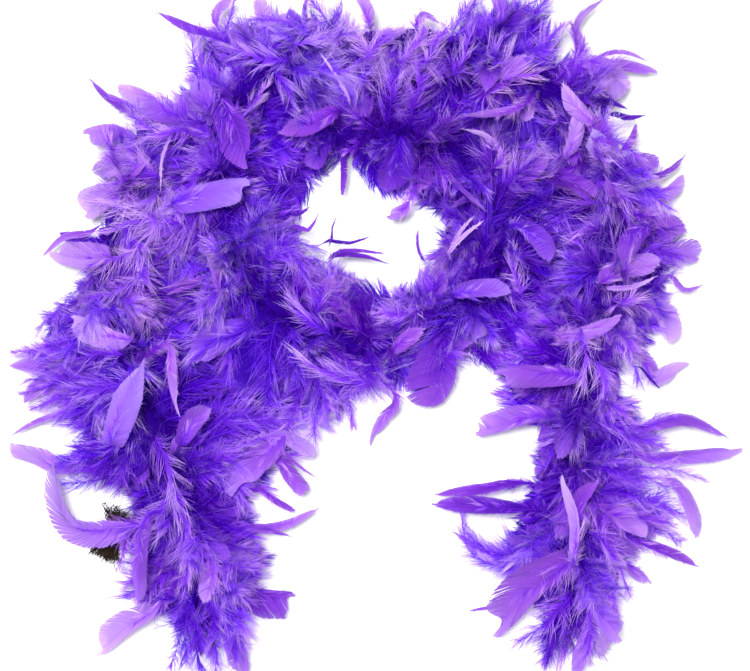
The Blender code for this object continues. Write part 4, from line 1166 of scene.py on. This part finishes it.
# The CAD's own single feathers in order, each after the share of the core's length where it is bound
LONG_FEATHERS = [
    (0.010, "v", (-108, -226, 40), (-99, -263, 14), 15, 2, 0.5, 0.06, 1.0, 0),
    (0.030, "v", (-166, -211, 34), (-211, -246, 12), 20, -3, 0.8, 0.26, 1.0, 5),
    (0.018, "v", (-100, -194, 34), (-63, -203, 14), 20, -2, 0.75, -0.10, 0.5, 5),
    (0.070, "s", (-96, -146, 34), (-42, -134, 18), 8, -6, 0.6, 0.08, 1.1, 0),
    (0.098, "v", (-234, -103, 30), (-281, -91, 14), 19, -2, 0.8, 0.22, 0.5, 5),
    (0.150, "v", (-232, -22, 30), (-281, -24, 14), 9, 2, 0.6, 0.06, 1.3, 0),
    (0.190, "s", (-212, 80, 40), (-256, 60, 18), 6, -7, 0.8, 0.12, 1.2, 0),
    (0.232, "v", (-178, 172, 40), (-217, 197, 22), 7, 4, 0.5, -0.02, 1.3, 0),
    (0.612, "v", (-114, 223, 56), (-162, 245, 46), 7, 2, 0.5, -0.05, 1.6, 0),
    (0.676, "v", (-2, 236, 56), (-10, 257, 46), 9, -2, 0.8, 0.16, 1.0, 10),
    (0.712, "v", (98, 240, 50), (96, 266, 42), 14, 2, 0.6, 0.10, 0.9, 10),
    (0.742, "v", (162, 205, 40), (218, 203, 22), 8, 3, 0.7, 0.02, 0.9, 0),
    (0.782, "v", (204, 122, 40), (242, 139, 22), 8, -6, 0.6, -0.02, 1.3, 0),
    (0.822, "v", (226, 64, 34), (254, 60, 16), 20, 2, 0.6, 0.14, 0.9, 0),
    (0.868, "v", (206, -13, 34), (243, -25, 14), 13, -18, 0.7, 0.18, 1.2, 0),
    (0.905, "v", (206, -92, 40), (284, -88, 14), 13, -2, 0.5, 0.10, 1.0, 0),
    (0.948, "v", (206, -158, 36), (254, -179, 12), 9, 0, 0.8, -0.04, 1.3, 0),
    (0.942, "v", (114, -112, 40), (50, -123, 14), 9, 2, 0.8, -0.06, 1.3, 10),
    (0.500, "v", (20, -46, 34), (1, -82, 10), 9, -2, 0.8, 0.10, 1.2, 0),
]


def single_quill(place, begin, end, bow):
    """A quill from the core to where its vane begins and on to its end, and the share where it begins."""
    root = core_at(place)
    begin, end = np.array(begin) / 1000, np.array(end) / 1000
    root = root + unit(begin - root) * 0.002
    middle = (begin + end) / 2 + unit(np.cross(UP, end - begin)) * bow / 1000
    lifted = root * 0.5 + begin * 0.5 + UP * 0.10 * np.linalg.norm(begin - root)
    line = smooth_line([root, lifted, begin, middle, end], QUILL_STEPS)
    along = way_along(line)
    points = at_distances(np.linspace(0, along[-1], RACHIS_STEPS + 1), along, line)
    return points, along[2 * QUILL_STEPS] / along[-1]


def nearest_place(spot):
    """The place on the core nearest to where a feather begins to show; height counts for half."""
    spot = np.array(spot) / 1000
    gap = (LINE - (spot - [0, 0, 0.03])) * [1, 1, 0.5]
    return float(ALONG[np.argmin((gap**2).sum(1))])


def add_singles(rng, skin, rows):
    """Grows the feathers of rows of (place, kind, begin, end, width, bow, tint, light), where a vane's row
    also has corner and roll."""
    width, _, tint, light = np.array([row[4:8] for row in rows], float).T
    corner, roll = np.array([row[8:] or (1.0, 0.0) for row in rows], float).T
    width = width / 1000
    lines, feet = zip(*[single_quill(row[0], row[2], row[3], row[5]) for row in rows])
    points, foot = np.stack(lines), np.array(feet)
    ways = unit(np.gradient(points, axis=1))
    sides = unit(np.cross(UP, ways) + 1e-6)
    twist = rng.normal(0, 26, len(rows))[:, None] * np.linspace(-0.4, 1, RACHIS_STEPS + 1)
    sides = turn_about(sides, ways, np.radians(roll[:, None] + twist))
    normals = np.cross(ways, sides)
    kind = np.array([row[1] for row in rows])
    pick = np.flatnonzero(kind != "s")
    if len(pick):
        plume = kind[pick] == "p"
        at_foot = foot[pick]
        reach = np.where(plume, width[pick] * 0.62, np.maximum(width[pick] * 0.6, 0.010))
        # painted shade: plumes in the darker patches are coloured darker
        shade = 0.5 * patch_lightness_and_painted_shade(points[pick, -1]).clip(max=0)
        down_barbs(
            rng, skin, points[pick], ways[pick], sides[pick], normals[pick], reach,
            np.radians(np.where(plume, 58.0, 52.0)), np.radians(np.where(plume, 16.0, 22.0)), tint[pick],
            np.where(plume, 0.10, 0.15 * at_foot), np.where(plume, 0.995, at_foot + 0.42 * (1 - at_foot)),
            np.full(len(pick), 0.2), light[pick] + np.where(plume, shade, 0.06),
        )
    pick = np.flatnonzero(kind != "p")
    if len(pick):
        widest = np.where(kind[pick] == "s", 0.30, 0.62)
        vanes(
            rng, skin, points[pick], ways[pick], sides[pick], normals[pick], width[pick], foot[pick], widest,
            corner[pick], rng.normal(0.15, 0.26, len(pick)), tint[pick], light[pick],
            np.where(width[pick] > 0.012, 1.0, 0.4),
        )
    quills(skin, points, sides, normals, np.clip(width * 0.02, 0.00026, 0.00042), tint)


def section_node(number):
    """The CAD section's node, and the body that it is on."""
    from_right = SECTIONS - 1 - number
    if number < TIP_SECTIONS:
        return f"left_tip_plumage_{number + 1}", "left_tip"
    if number < TAIL_SECTIONS:
        return "left_tail_plumage", "left_tail"
    if from_right < TIP_SECTIONS:
        return f"right_tip_plumage_{from_right + 1}", "right_tip"
    if from_right < TAIL_SECTIONS:
        return "right_tail_plumage", "right_tail"
    return f"ring_plumage_{number - TAIL_SECTIONS + 1:02d}", "ring"


# ---------------------------------------------------------------- the pieces
build_camera()
build_light()
build_table()

plume = dyed_material("plume", (PLUME_BLUISH, PLUME_PINKISH), (VANE_BLUISH, VANE_PINKISH))
for number, (share, *row) in enumerate(LONG_FEATHERS, 1):
    skin = Skin()
    add_singles(np.random.default_rng(900 + number), skin, [(share * LENGTH, *row)])
    feather = skin.build(f"long_feather_{number:02d}_vane", plume)
    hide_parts(f"long_feather_{number:02d}")
    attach(feather, section_node(int(share * SECTIONS))[1])

singles = [(nearest_place(row[1]), *row) for row in SINGLE_FEATHERS]
for number in range(SECTIONS):
    node, body = section_node(number)
    section = plume_section(number, plume, singles)
    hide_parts(node)
    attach(section, body)

thread = dyed_material("thread", (THREAD, THREAD), (THREAD, THREAD), 0.0)
bodies = ["left_tip", "left_tail", "ring", "right_tail", "right_tip"]
bounds = [0, TIP_SECTIONS, TAIL_SECTIONS, SECTIONS - TAIL_SECTIONS, SECTIONS - TIP_SECTIONS, SECTIONS]
for body, first, last in zip(bodies, bounds, bounds[1:]):
    cord = twisted_cord(f"{body}_core_strands", first * PITCH, last * PITCH, thread)
    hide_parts(f"{body}_core_cord")
    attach(cord, body)
for side_name, place, sign in (("left", 0.0, -1), ("right", LENGTH, 1)):
    for node, piece in cord_end_pieces(side_name, place, core_heading(place) * sign, thread).items():
        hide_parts(node)
        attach(piece, f"{side_name}_tip")

yarn = yarn_piece(dyed_material("dark_yarn", (YARN, YARN), (YARN, YARN), 0.0))
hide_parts("yarn_tuft")
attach(yarn, "left_tip")
